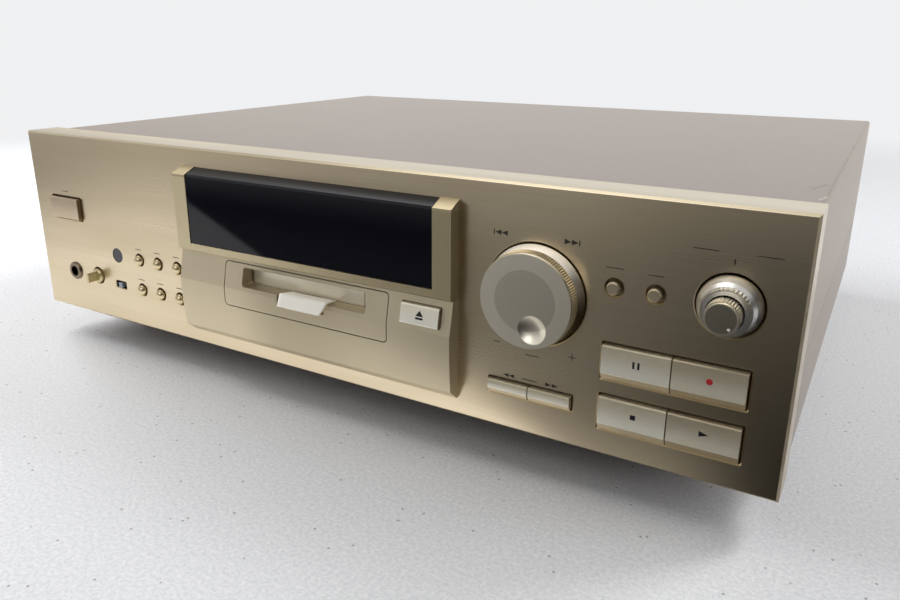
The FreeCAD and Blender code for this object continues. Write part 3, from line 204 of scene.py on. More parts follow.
# mesh makers
def addMesh(name, points, faces, body, material, smooth=True):
    # points in millimetres, faces as index rows
    mesh = bpy.data.meshes.new(name)
    mesh.from_pydata((np.asarray(points, float) * mm).tolist(), [], [list(map(int, f)) for f in faces])
    mesh.update()
    mesh.materials.append(material)
    mesh.polygons.foreach_set("use_smooth", np.full(len(mesh.polygons), smooth))
    piece = bpy.data.objects.new(name, mesh)
    scene.collection.objects.link(piece)
    if body:
        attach(piece, body)
    return piece


def gridFaces(rows, columns, closed=False):
    # quads of a rows x columns grid, joined round its columns when closed
    across = columns if closed else columns - 1
    row, column = np.meshgrid(np.arange(rows - 1), np.arange(across), indexing="ij")
    after = (column + 1) % columns
    near = row * columns
    far = near + columns
    return np.stack((near + column, near + after, far + after, far + column), -1).reshape(-1, 4)


def printOn(name, figures, depth, body, material, height=0.05, sunk=0.02):
    # flat figures, each a ring of (x, z) corners, from height before the plane y = depth to sunk behind it;
    # twice the ring's area, the sum of x z' - x' z, is negative where it runs the wrong way round
    points, faces = [], []
    start = 0
    for ring in figures:
        ring = np.asarray(ring, float)
        after = np.roll(ring, -1, 0)
        if (ring[:, 0] * after[:, 1] - after[:, 0] * ring[:, 1]).sum() < 0:
            ring = ring[::-1]
        count = len(ring)
        points += [np.insert(ring, 1, y, axis=1) for y in (depth - height, depth + sunk)]
        faces.append(range(start, start + count))
        faces += (start + gridFaces(2, count, True)[:, ::-1]).tolist()
        start += 2 * count
    return addMesh(name, np.concatenate(points), faces, body, material, False)


def bar(x, z, width, height):
    # rectangle about (x, z)
    left, right = x - width / 2, x + width / 2
    low, high = z - height / 2, z + height / 2
    return [(left, low), (right, low), (right, high), (left, high)]


def arrow(x, z, length, height):
    # triangle whose point lies at x + length, or to the left for a negative length
    return [(x, z - height / 2), (x + length, z), (x, z + height / 2)]


def disc(x, z, radius, count=28):
    # points at (x + radius cos angle, z + radius sin angle)
    angle = np.linspace(0, 2 * math.pi, count, endpoint=False)
    return np.stack((x + radius * np.cos(angle), z + radius * np.sin(angle)), -1)


# finishes
champagne = {
    "panel": tone(222, 206, 178),
    "panelDeep": tone(206, 189, 158),
    # bare metal on the holes' edges, paler as a painted highlight where they face up or left, and how deep it
    # runs
    "bare": tone(226, 206, 164),
    "bareDepth": 0.5,
    # painted shade in the walls of the holes
    "hollow": tone(104, 84, 54),
    "half": 218.5,  # half the width of the face between the side folds
    "foot": 1.2,  # heights above the panel's edge where the face starts and ends
    "head": 108.8,
    "fold": tone(191, 178, 151),  # painted shade on the top fold, deepening towards the right
    "foldStart": 108.9,
    "foldFade": (-140.0, 0.0),
}


def panelMetal():
    # colour, gloss and relief follow noise drawn out 70 mm along x and 0.3 mm high, over clouds 110 mm long
    # and 17 mm high; painted shade makes the top fold duller towards the right and the walls of the holes
    # browner, and where they face up or left, their first 0.5 mm is bare metal, paler as a painted highlight
    finish = Finish("panelMetal", {"Metallic": 1.0, "Anisotropic": 0.45, "Anisotropic Rotation": 0.25})
    hair = finish.noise(finish.place((14, 40, 3300)), 1, 3, 0.6)
    cloud = finish.noise(finish.place((9, 20, 60)), 1, 2)
    lines = hair * 0.5 + cloud * 0.5
    x, y, z = finish.axes()
    colour = finish.mix(lines.step(0.25, 0.75), champagne["panelDeep"], champagne["panel"])
    start = edge + champagne["foldStart"]
    # painted shade: the top fold darkens towards the right
    fold = z.step(start, start + 0.5) * x.step(*champagne["foldFade"])
    colour = finish.mix(fold, colour, champagne["fold"])
    beside = (abs(x) - champagne["half"]).most(0.0)
    over = (z - edge - champagne["head"]).most(0.0)
    under = (edge + champagne["foot"] - z).most(0.0)
    inside = (beside + over + under).step(0.0, 0.01, 1.0, 0.0)  # 1 within the face, 0 on the folds
    # painted shade: the walls of the holes turn browner
    wallShade = y.step(face + 0.1, face + 0.35) * inside
    colour = finish.mix(wallShade * 0.85, colour, champagne["hollow"])
    facing = finish.node("TexCoord", output="Normal")
    aside, upward = (finish.node("SeparateXYZ", None, {0: facing}, name) for name in "XZ")
    end = face + champagne["bareDepth"]
    # painted highlight: the first 0.5 mm of hole walls that face up or left is paler bare metal
    paintedFlare = y.step(face + 0.02, face + 0.06) * y.step(end, end + 0.06, 1.0, 0.0) * inside
    paintedFlare = paintedFlare * upward.step(0.1, 0.6).most(aside.step(-0.6, -0.1, 1.0, 0.0))
    finish.give("Base Color", finish.mix(paintedFlare, colour, champagne["bare"]))
    finish.give("Roughness", lines.step(0.3, 0.7, 0.31, 0.27) + paintedFlare * 0.04)
    finish.give("Normal", finish.bump(hair, 0.003))
    finish.onto("front_panel")


housing = {
    # darker and lighter tone, roughness
    "cover": (tone(150, 138, 127), tone(160, 148, 137), 0.42),
    "chassis": (tone(146, 135, 126), tone(157, 146, 137), 0.44),
    "grain": 0.8,  # mm between the bumps of the orange peel
    "top": (126.2, 126.8),  # heights where the lid's side turns into its top
    "dull": tone(50, 46, 43),  # painted shade that darkens the top, and its share
    "dullShare": 0.29,
    # wear: straight marks, each from one place to another
    "scratches": (
        ((210.1, -115, 127), (217.5, -105.6, 127)),
        ((211.5, -119, 127), (215.5, -104, 127)),
        ((216.6, 18, 127), (218.2, 22, 127)),
    ),
    "scuff": ((216.3, -138.6, 127), (218.4, -128.4, 127)),
    "scratched": (tone(70, 62, 56), 0.8),  # tone and share
    "scuffed": (tone(205, 198, 190), 0.7),
    "scratchFade": (0.15, 0.5),  # mm from the line where a mark starts to fade, and where it has
    "scuffFade": (0.2, 1.1),
}


def nearLine(finish, start, end):
    # distance in mm to a straight mark: |p - a - t (b - a)| with t held between 0 and 1
    place = finish.node("TexCoord", output="Object")
    place = finish.node("VectorMath", {"operation": "SCALE"}, {0: place, "Scale": 1 / mm})
    offset = finish.node("VectorMath", {"operation": "SUBTRACT"}, {0: place, 1: start})
    along = Vector(end) - Vector(start)
    share = finish.node("VectorMath", {"operation": "DOT_PRODUCT"}, {0: offset, 1: along}, "Value")
    share = (share / along.length_squared).most(0.0).least(1.0)
    foot = finish.node("VectorMath", {"operation": "SCALE"}, {0: along, "Scale": share})
    gap = finish.node("VectorMath", {"operation": "SUBTRACT"}, {0: offset, 1: foot})
    return finish.node("VectorMath", {"operation": "LENGTH"}, {0: gap}, "Value")


def coverWearAndShade(finish, colour):
    # painted shade makes the lid's top duller; scratches and a scuff lie where the distance to their line is
    # small, broken up by 1.1 mm noise
    z = finish.axes("Z")[0]
    broken = finish.noise(finish.place(), 900, 2)
    # painted shade on the lid's top
    colour = finish.mix(z.step(*housing["top"]) * housing["dullShare"], colour, housing["dull"])
    scratched, share = housing["scratched"]
    for start, end in housing["scratches"]:
        line = nearLine(finish, start, end).step(*housing["scratchFade"], 1.0, 0.0) * broken.step(0.35, 0.5)
        colour = finish.mix(line * share, colour, scratched)
    scuffed, share = housing["scuffed"]
    rub = nearLine(finish, *housing["scuff"]).step(*housing["scuffFade"], 1.0, 0.0) * broken.step(0.45, 0.55)
    return finish.mix(rub * share, colour, scuffed)


def paintFinish(name, low, high, rough, targets, wearAndShade=None):
    # satin paint: cloudy colour from 60 mm noise, grain-sized orange peel in gloss and relief, then any given
    # wear and painted shade
    finish = Finish(name, {})
    cloud = finish.noise(finish.place(), 16, 3)
    peel = finish.noise(finish.place(), 1000 / housing["grain"], 3, 0.6)
    colour = finish.mix(cloud * 0.6 + peel * 0.4, low, high)
    if wearAndShade:
        colour = wearAndShade(finish, colour)
    finish.give("Base Color", colour)
    finish.give("Roughness", peel.step(0.3, 0.7, rough + 0.03, rough - 0.03))
    finish.give("Normal", finish.bump(peel, 0.008))
    finish.onto(*targets)


def housingPaint():
    paintFinish("coverPaint", *housing["cover"], ("top_cover",), coverWearAndShade)
    paintFinish("chassisPaint", *housing["chassis"], ("chassis", "rear_panel"))


module = {
    "coats": (
        ("fasciaPaint", ("slot_fascia", "slot_frame"), tone(202, 188, 160), tone(213, 201, 174)),
        ("bezelPaint", ("display_bezel",), tone(208, 193, 158), tone(221, 207, 174)),
        ("flapPaint", ("slot_flap",), tone(244, 236, 216), tone(250, 243, 226)),
    ),
    # x where painted shade deepens the fascia from the left, and where and how far it lifts again to the
    # right
    "fasciaDeep": tone(178, 166, 140),
    "deepens": (-50.0, -15.0),
    "recovers": (-5.0, 50.0, 0.9, 0.25),
    # x over which painted shade deepens the bezel, height above the panel's edge where its sloping caps
    # start, and the share of painted shade on them
    "bezelDeep": tone(176, 162, 130),
    "bezelFade": (-60.0, 60.0),
    "caps": 95.5,
    "capShare": 0.7,
}


def modulePaint():
    # metal-flake paint: bright flakes 0.25 mm wide in a warm coat, with painted shade, by smooth rises of x
    # and z, in the middle of the fascia, and on the bezel towards the right and on its sloping caps
    for name, targets, low, high in module["coats"]:
        finish = Finish(name, {"Metallic": 0.85})
        flake = finish.cells(finish.place(), 4200)
        cloud = finish.noise(finish.place(), 14, 2)
        colour = finish.mix(flake * 0.5 + cloud * 0.5, low, high)
        if name == "fasciaPaint":
            x = finish.axes("X")[0]
            # painted shade in the middle of the fascia
            share = x.step(*module["deepens"]) * x.step(*module["recovers"])
            colour = finish.mix(share, colour, module["fasciaDeep"])
        if name == "bezelPaint":
            x, z = finish.axes("XZ")
            start = edge + module["caps"]
            cap = z.step(start, start + 0.5)
            # painted shade on the bezel towards the right and on its sloping caps
            share = x.step(*module["bezelFade"]) * (1.0 - cap) + cap * module["capShare"]
            colour = finish.mix(share, colour, module["bezelDeep"])
        finish.give("Base Color", colour)
        finish.give("Roughness", flake.step(0.1, 0.8, 0.45, 0.51))
        finish.give("Normal", finish.bump(finish.noise(finish.place(), 1300, 2), 0.005))
        finish.onto(*targets)


keys = {
    "shades": {
        # colour at the face's upper edge and at its lower edge (painted shade between them), and the painted
        # shade below and beside it; share of metal
        "wideKeys": (tone(216, 204, 176), tone(255, 250, 232), tone(190, 168, 128), 0.42),
        # a darker copy of the wide keys' paint: painted shade on the record and play keys
        "farKeys": (tone(192, 178, 150), tone(246, 238, 214), tone(176, 152, 112), 0.5),
        # a paler copy of the key paint: painted light on the eject key
        "ejectKey": (tone(244, 236, 214), tone(255, 252, 238), tone(150, 128, 92), 0.3),
        "roundKeys": (tone(204, 186, 148), tone(220, 203, 166), tone(170, 150, 112), 0.9),
        "flatKeys": (tone(190, 176, 146), tone(200, 186, 156), tone(190, 168, 126), 0.8),
        "powerKey": (tone(200, 181, 156), tone(206, 188, 163), tone(140, 118, 86), 0.8),
    },
    "kinds": {
        "power_button": "powerKey",
        "eject_button": "ejectKey",
        "record_button": "farKeys",
        "play_button": "farKeys",
        "rec_mode_button": "flatKeys",
        "enter_button": "flatKeys",
    },
    "crown": 0.022,  # of the face's height
    "flat": 0.01,  # mm behind the foremost corner that still belong to a face, and to one that leans
    "leant": 1.8,
    "gloss": 0.36,
    "roundGloss": 0.28,
}
ejectFace = {"low": 40.5, "high": 55.8, "lowReach": 8.3, "highReach": 5.0}  # it leans with the fascia
ejectSlope = (ejectFace["lowReach"] - ejectFace["highReach"]) / (ejectFace["high"] - ejectFace["low"])


def keyPaint():
    # satin metallic paint with fine flakes and a faint grain along x; painted shade deepens the colour
    # towards the face's
    # upper edge and makes its bevel and right end browner, and the face is crowned:
    # crown height (1 - (off / half height) squared)
    for name in nodes:
        isRound = "_button_" in name
        if not isRound and not name.endswith("_button"):
            continue
        kind = "roundKeys" if isRound else keys["kinds"].get(name, "wideKeys")
        isSmall = kind in ("roundKeys", "flatKeys")
        isLeaning = kind == "ejectKey"
        upper, lower, side, metal = keys["shades"][kind]
        finish = Finish(kind + name.title().replace("_", ""), {"Metallic": metal})
        corners = np.array([corner.co for corner in nodes[name].data.vertices]) / mm
        foremost = corners[:, 1].min()
        front = corners[corners[:, 1] < foremost + keys["leant" if isLeaning else "flat"]]
        depth, low = map(float, front.min(0)[1:])
        right, high = map(float, front.max(0)[[0, 2]])
        flake = finish.cells(finish.place(), 4200)
        grain = finish.noise(finish.place((300, 300, 2200)), 1, 2)
        z = finish.axes("Z")[0]
        # painted shade: the face darkens towards its upper edge
        share = z.step(low, high, 1.0, 0.0) + (flake * 0.4 + grain * 0.6 - 0.4) * 0.5
        colour = finish.mix(share.most(0.0).least(1.0), upper, lower)
        if not isSmall:
            x, y = finish.axes("XY")
            beyond = x.step(right - 0.1, right - 0.02)
            behind = y.step(depth + 0.05, depth + 0.2)
            if isLeaning:
                plane = depth - low * ejectSlope
                behind = (y - z * ejectSlope).step(plane + 0.12, plane + 0.3)
            else:
                beyond = z.step(low - 0.1, low + 0.1, 1.0, 0.0).most(beyond)
            # painted shade on the bevel below the face and on its right end
            colour = finish.mix(beyond * behind * 0.9, colour, side)
        finish.give("Base Color", colour)
        gloss = keys["roundGloss" if isRound else "gloss"]
        finish.give("Roughness", grain.step(0.3, 0.7, gloss + 0.04, gloss))
        relief = finish.bump(finish.noise(finish.place(), 2600, 2), 0.002)
        if not isSmall:
            off = ((z - (low + high) / 2) / ((high - low) / 2)).least(1.0).most(-1.0)
            relief = finish.bump(1.0 - off * off, keys["crown"] * (high - low), relief)
        finish.give("Normal", relief)
        finish.onto(name)


dials = {
    # grip: ribs round the rim, radius of their band, its reach before the panel and its share in the colour;
    # face circle: radius and share; cone behind the grip: its reach, and the strength of the painted glow on
    # its top
    "jog_dial": {
        "ribs": 120, "band": 20.08, "reach": (4.35, 9.25), "rib": 0.85, "inner": 13.4, "cone": (0.4, 4.1),
        "lift": 0.3,
    },
    "level_knob": {"ribs": 76, "band": 5.9, "reach": (2.6, 14.6), "inner": 5.4, "shade": 1.0},
    "balance_ring": {
        "ribs": 96, "band": 8.0, "reach": (6.3, 8.6), "inner": 0.0, "rough": 0.32,
        "tones": (tone(226, 224, 220), tone(240, 238, 234)),
    },
    "phones_knob": {"ribs": 0, "inner": 0.0, "tones": (tone(196, 182, 142), tone(208, 195, 156))},
}
dialTones = {
    "metal": (tone(242, 234, 214), tone(252, 245, 227)),
    "ribs": (tone(188, 174, 140), tone(252, 243, 218)),
    "inner": tone(180, 172, 154),
    "cone": tone(255, 253, 250),
    # painted shade on the cone's lower right, and the colour of the painted glow on its top
    "coneBelow": tone(112, 96, 72),
    "coneLift": tone(255, 250, 238),
}


def dialMetal():
    # blasted metal; round the axis, sin(ribs * atan2(z, x)) cuts the grip's band into ribs of painted shade
    # and highlight;
    # the cone behind it gets painted shade, browner as (0.6 x - 0.8 z) / radius rises, and a painted glow as
    # z / radius does
    for name, dial in dials.items():
        # emission here is a painted glow on the cone's top, not a lamp
        plain = {"Metallic": 1.0, "Emission Strength": dial.get("lift", 0.0)}
        finish = Finish("metalOf" + name.title().replace("_", ""), plain)
        low, high = (np.array(corner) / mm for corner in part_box(name))
        middle = (low + high) / 2
        x, y, z = finish.axes()
        x, z = x - float(middle[0]), z - float(middle[2])
        radius = (x * x + z * z).root()
        blast = finish.noise(finish.place(), 2600, 3, 0.6)
        colour = finish.mix(blast, *dial.get("tones", dialTones["metal"]))
        if dial["ribs"]:
            near, far = (face - reach for reach in dial["reach"])
            band = radius.step(dial["band"] - 0.15, dial["band"])
            band = band * y.step(far - 0.1, far) * y.step(near, near + 0.1, 1.0, 0.0)
            # light and dark stripes of painted shade and highlight stand in for the ribs' sides
            rib = (z.math("ARCTAN2", z, x) * float(dial["ribs"])).wave() * 0.5 + 0.5
            colour = finish.mix(band * dial.get("rib", 0.65), colour, finish.mix(rib, *dialTones["ribs"]))
        if "cone" in dial:
            near, far = (face - reach for reach in dial["cone"])
            cone = y.step(far - 0.1, far) * y.step(near, near + 0.1, 1.0, 0.0)
            colour = finish.mix(cone, colour, dialTones["cone"])
            # painted shade on the cone's lower right
            below = ((x * 0.6 - z * 0.8) / radius).step(0.1, 0.9) * cone
            colour = finish.mix(below, colour, dialTones["coneBelow"])
            # painted highlight: the cone's top glows
            rise = (z / radius).step(0.35, 0.95) * cone
            finish.give("Emission Color", finish.mix(rise, tone(0, 0, 0), dialTones["coneLift"]))
        if dial["inner"]:
            inner = radius.step(dial["inner"] - 0.2, dial["inner"], dial.get("shade", 0.4), 0.0)
            colour = finish.mix(inner, colour, dialTones["inner"])
        finish.give("Base Color", colour)
        rough = dial.get("rough", 0.36)
        finish.give("Roughness", blast.step(0.3, 0.7, rough, rough + 0.06))
        finish.give("Normal", finish.bump(blast, 0.008))
        finish.onto(name)


display = {
    "lens": (tone(8, 9, 17), tone(15, 16, 26)),
    "matt": 96.9,  # height above the panel's edge where the lens's sloping top starts
    "tube": (tone(26, 34, 34), tone(62, 78, 76)),
    "cells": (2.4, 1.6),  # radians to a mm along x and z
}


def lensPlastic():
    # smoked plastic: near-black, with dust from 6 mm noise in colour and gloss; its sloping top is left matt
    finish = Finish("lensBlack", {"IOR": 1.5, "Specular IOR Level": 0.3})
    dust = finish.noise(finish.place(), 180, 4, 0.7)
    finish.give("Base Color", finish.mix(dust, *display["lens"]))
    start = edge + display["matt"]
    top = finish.axes("Z")[0].step(start, start + 0.2)
    finish.give("Roughness", dust.step(0.4, 0.75, 0.03, 0.06) + top * 0.25)
    finish.onto("display_lens")


def tubeGlass():
    # dark glass with paler cells where both sin(2.4 x) and sin(1.6 z) are high
    finish = Finish("tubeGlass", {"IOR": 1.5})
    x, z = finish.axes("XZ")
    across, up = display["cells"]
    grid = (x * across).wave().step(0.6, 0.95) * (z * up).wave().step(-0.6, 0.9)
    finish.give("Base Color", finish.mix(grid, *display["tube"]))
    finish.give("Roughness", finish.noise(finish.place(), 300, 2).step(0.3, 0.7, 0.05, 0.12))
    finish.onto("display_tube")


plastics = {
    # darker and lighter tone, roughness, mm between the grains, their depth in mm
    "footPlastic": (tone(38, 38, 40), tone(50, 50, 52), 0.5, 0.5, 0.02),
    "padFelt": (tone(44, 42, 40), tone(70, 67, 64), 0.95, 0.25, 0.12),
    "blackPlastic": (tone(24, 24, 25), tone(34, 34, 35), 0.45, 0.5, 0.02),
    "sliderPlastic": (tone(150, 160, 176), tone(182, 192, 206), 0.3, 0.5, 0.02),
    "sensorWindow": (tone(44, 45, 56), tone(58, 59, 70), 0.16, 0.9, 0.003),
}


def mouldedPlastic(name, *targets):
    # moulded plastic: fine spark-eroded grain, as noise, in colour, gloss and relief
    low, high, rough, grain, depth = plastics[name]
    finish = Finish(name, {})
    texture = finish.noise(finish.place(), 1000 / grain, 3, 0.6)
    finish.give("Base Color", finish.mix(texture, low, high))
    finish.give("Roughness", texture.step(0.3, 0.7, rough - 0.05, rough + 0.05))
    finish.give("Normal", finish.bump(texture, depth))
    finish.onto(*targets)


def plasticParts():
    feet = [name for name in nodes if name.startswith("foot_") and name != "foot_pads"]
    black = (
        "timer_switch", "phones_control", "level_control", "jog_encoder", "key_switches", "turntable",
        "pickup_sled", "optical_sockets", "mains_inlet",
    )
    mouldedPlastic("footPlastic", *feet)
    mouldedPlastic("padFelt", "foot_pads")
    mouldedPlastic("blackPlastic", *black)
    mouldedPlastic("sliderPlastic", "timer_slider")
    mouldedPlastic("sensorWindow", "sensor_window")


metals = {
    "zinc": (tone(186, 188, 190), tone(214, 214, 212)),
    "screws": (tone(120, 108, 92), tone(156, 144, 126)),
}


def zincSteel():
    # zinc: 2 mm spangles tint the colour, 0.4 mm rolling lines the gloss
    finish = Finish("zincSteel", {"Metallic": 1.0})
    spangle = finish.cells(finish.place(), 420)
    rolled = finish.noise(finish.place((60, 2600, 60)), 1, 2)
    finish.give("Base Color", finish.mix(spangle, *metals["zinc"]))
    finish.give("Roughness", rolled.step(0.3, 0.7, 0.3, 0.42))
    finish.give("Normal", finish.bump(rolled, 0.004))
    finish.onto("jog_shaft", "jog_holder", "board_posts", "guide_rods")
    finish.onto("mech_frame", "disc_holder", "loading_plate", "spindle_motor")


def screwSteel():
    # tarnish from 1.4 mm noise in colour and relief
    finish = Finish("screwSteel", {"Metallic": 1.0, "Roughness": 0.35})
    tarnish = finish.noise(finish.place(), 700, 3)
    finish.give("Base Color", finish.mix(tarnish, *metals["screws"]))
    finish.give("Normal", finish.bump(tarnish, 0.01))
    finish.onto("housing_screws")


sockets = {
    # y where the finish changes, share of metal before and behind it, roughness of the plastic and the metal
    "phonesJack": {
        "node": "phones_jack", "change": -167.4, "metal": (1.0, 0.0), "rough": (0.45, 0.3),
        "plating": tone(124, 110, 94),
    },
    "lineJacks": {
        "node": "line_jacks", "change": 175.6, "metal": (0.0, 1.0), "rough": (0.5, 0.22),
        "plating": tone(206, 202, 194),
    },
}


def socketFinishes():
    # each socket is one moulding: a smooth step of y tells the plated part from the black body, whose colour
    # follows 0.7 mm noise
    for name, socket in sockets.items():
        finish = Finish(name, {})
        change = socket["change"]
        plated = finish.axes("Y")[0].step(change, change + 0.1, *socket["metal"])
        grain = finish.noise(finish.place(), 1500, 2)
        body = finish.mix(grain, tone(22, 22, 23), tone(32, 32, 33))
        finish.give("Base Color", finish.mix(plated, body, socket["plating"]))
        finish.give("Metallic", plated)
        finish.give("Roughness", plated.step(0, 1, *socket["rough"]))
        finish.onto(socket["node"])


boards = {
    "thick": 1.7,  # from the main board's underside to where its parts stand
    "resin": (tone(128, 98, 52), tone(150, 120, 70)),
    "parts": tone(34, 36, 44),
}


def boardFinishes():
    # resin board whose tracks are 2 mm cells; what stands above the main board reads as cans and chips
    for name in ("control_boards", "main_board"):
        finish = Finish("resinOf" + name.title().replace("_", ""), {})
        track = finish.cells(finish.place((500, 500, 500)), 1).step(0.35, 0.5)
        colour = finish.mix(track, *boards["resin"])
        if name == "main_board":
            top = float(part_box(name)[0][2] / mm) + boards["thick"]
            raised = finish.axes("Z")[0].step(top, top + 0.1)
            colour = finish.mix(raised, colour, boards["parts"])
        finish.give("Base Color", colour)
        finish.give("Roughness", track.step(0, 1, 0.5, 0.35))
        finish.onto(name)


coil = {
    "end": 13.9,  # from the transformer's ends to its iron
    "tape": tone(190, 160, 70),
    "iron": (tone(70, 64, 60), tone(96, 90, 84)),
    "sheets": 9.0,  # radians to a mm along y
}


def transformerSteel():
    # yellow tape at both ends, and between them iron sheets as (sin(9 y) + 1) / 2
    finish = Finish("coreSteel", {})
    y = finish.axes("Y")[0]
    sheets = (y * coil["sheets"]).wave() * 0.5 + 0.5
    front, rear = (float(corner[1] / mm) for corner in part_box("power_transformer"))
    iron = (y - front - coil["end"]).step(0, 0.1) * (y - rear + coil["end"]).step(0, 0.1, 1.0, 0.0)
    finish.give("Base Color", finish.mix(iron, coil["tape"], finish.mix(sheets, *coil["iron"])))
    finish.give("Metallic", iron * 0.8)
    finish.give("Roughness", sheets.step(0, 1, 0.4, 0.5))
    finish.onto("power_transformer")


panelMetal()
housingPaint()
modulePaint()
keyPaint()
dialMetal()
lensPlastic()
tubeGlass()
plasticParts()
zincSteel()
screwSteel()
socketFinishes()
boardFinishes()
transformerSteel()
print("finishes given to the frame's nodes")


# printed marks
def inkFinish(name, low, high):
    # screen ink: colour and gloss mottled by 0.3 mm noise
    finish = Finish(name, {"Specular IOR Level": 0.3})
    mottle = finish.noise(finish.place(), 3000, 2)
    finish.give("Base Color", finish.mix(mottle, low, high))
    finish.give("Roughness", mottle.step(0.3, 0.7, 0.5, 0.6))
    return finish.material


inks = {
    "darkInk": (tone(50, 45, 38), tone(62, 56, 48)),
    "keyInk": (tone(24, 23, 26), tone(34, 33, 36)),
    "redInk": (tone(186, 26, 36), tone(200, 36, 46)),
    "whiteInk": (tone(232, 230, 222), tone(245, 243, 236)),
}
darkInk, keyInk, redInk, whiteInk = (inkFinish(name, *tones) for name, tones in inks.items())
marks = {
    # x, height above the panel's edge, length (to the left where negative) and height of each arrow
    "arrows": (
        (102.9, 88.6, -2.8, 2.3), (105.8, 88.6, -2.8, 2.3), (130.6, 88.6, 2.9, 2.3), (133.6, 88.6, 2.9, 2.3),
        (108.1, 25.5, -2.6, 1.7), (110.8, 25.5, -2.6, 1.7), (125.3, 25.5, 2.9, 1.7), (128.3, 25.5, 2.9, 1.7),
    ),
    # x, height above the edge, width and height of the arrows' end bars, the tick and the plus's upright
    "uprights": (
        (99.6, 88.6, 0.45, 2.3), (136.9, 88.6, 0.45, 2.3), (194.6, 89.9, 0.6, 2.0), (136.4, 40.2, 0.35, 3.0),
    ),
    # x, height above the edge and width of the rules, the minus and the plus's bar among them
    "rules": (
        (151.6, 80.9, 7.0), (167.6, 80.3, 6.0), (184.4, 93.2, 9.0), (206.0, 93.2, 9.0), (-190.6, 75.4, 6.0),
        (118.0, 25.5, 7.0), (102.2, 40.2, 3.0), (136.4, 40.2, 3.0), (118.7, 37.0, 6.0),
    ),
    "thick": 0.35,
    # the rules over the six round keys: x of the first, the next one's distance, heights of both rows, width
    "first": -129.0,
    "pitch": 15.8,
    "rows": (47.6, 29.4),
    "wide": 5.0,
}


def panelMarks():
    # arrows over the jog dial and the search keys, a minus and a plus under the dial, a tick over the level
    # knob, and short rules
    rules = list(marks["rules"])
    for column in range(3):
        x = marks["first"] + marks["pitch"] * column
        rules += [(x, height, marks["wide"]) for height in marks["rows"]]
    figures = [arrow(x, edge + height, length, size) for x, height, length, size in marks["arrows"]]
    figures += [bar(x, edge + height, wide, tall) for x, height, wide, tall in marks["uprights"]]
    figures += [bar(x, edge + height, wide, marks["thick"]) for x, height, wide in rules]
    printOn("panel_marks", figures, face, "deck", darkInk)


signs = {
    "places": {
        # x, height above the panel's edge, then width and height, length and height, or radius
        "pause": (163.4, 43.5, 0.9, 2.9),
        "record": (191.1, 43.5, 1.25),
        "stop": (163.8, 21.2, 2.1, 2.1),
        "play": (189.4, 21.6, 3.6, 2.4),
        "eject": (67.9, 47.8, 3.9, 0.9),
        "levelDot": (197.5, 70.0, 0.5),
        "balanceDot": (185.7, 78.2, 0.4),
    },
    "pauseHalf": 1.0,  # from the pause sign's middle to each bar's
    "ejectRise": (-1.25, -0.3, 2.3),  # from the eject sign's middle to its bar, its triangle's foot and point
    # reach before the panel
    "keyReach": 2.2,
    "ejectReach": 1.8,
    "levelReach": 15.5,
    "balanceReach": 4.7,
}


def keyMarks():
    # signs on the keys, the eject sign laid back with its key's face, and a dot on each level knob
    front = face - signs["keyReach"]
    places = {name: (x, edge + height, *size) for name, (x, height, *size) in signs["places"].items()}
    x, z, width, height = places["pause"]
    pause = [bar(x + side, z, width, height) for side in (-signs["pauseHalf"], signs["pauseHalf"])]
    printOn("pause_mark", pause, front, "pause_button", keyInk)
    printOn("record_mark", [disc(*places["record"])], front, "record_button", redInk)
    printOn("stop_mark", [bar(*places["stop"])], front, "stop_button", keyInk)
    printOn("play_mark", [arrow(*places["play"])], front, "play_button", keyInk)
    x, z, width, height = places["eject"]
    middle, foot, point = (z + rise for rise in signs["ejectRise"])
    eject = [[(x - width / 2, foot), (x + width / 2, foot), (x, point)], bar(x, middle, width, height)]
    mark = printOn("eject_mark", eject, face - signs["ejectReach"], "eject_button", keyInk)
    leant = np.array([corner.co for corner in mark.data.vertices])
    rise = leant[:, 2] / mm - edge - ejectFace["low"]
    leant[:, 1] -= (ejectFace["lowReach"] - ejectSlope * rise) * mm
    mark.data.vertices.foreach_set("co", leant.ravel())
    dot = disc(*places["levelDot"])
    printOn("level_dot", [dot], face - signs["levelReach"], "level_knob", whiteInk)
    dot = disc(*places["balanceDot"])
    printOn("balance_dot", [dot], face - signs["balanceReach"], "balance_ring", whiteInk, 0.4)


panelMarks()
keyMarks()


# paper tab in the slot
tab = {
    # rows from the inner end to the free end: reach before the face, height above the edge, left and right
    "rows": (
        (1.2, 43.0, -11.5, 15.5), (6.0, 43.7, -12.0, 16.0), (8.9, 44.2, -12.8, 16.4),
        (9.4, 44.0, -13.0, 16.4), (11.2, 41.4, -12.4, 15.4), (13.0, 38.8, -11.8, 14.4),
    ),
    "thick": 0.3,
    "curl": 0.2,
    "turns": 1.3,  # half waves of the curl from left to right
    "steps": (40, 24),  # points along and across
    "paper": (tone(244, 240, 228), tone(254, 252, 246)),
    # tone and strength of the paper's painted glow
    "light": tone(255, 246, 226),
    "glow": 0.14,
}


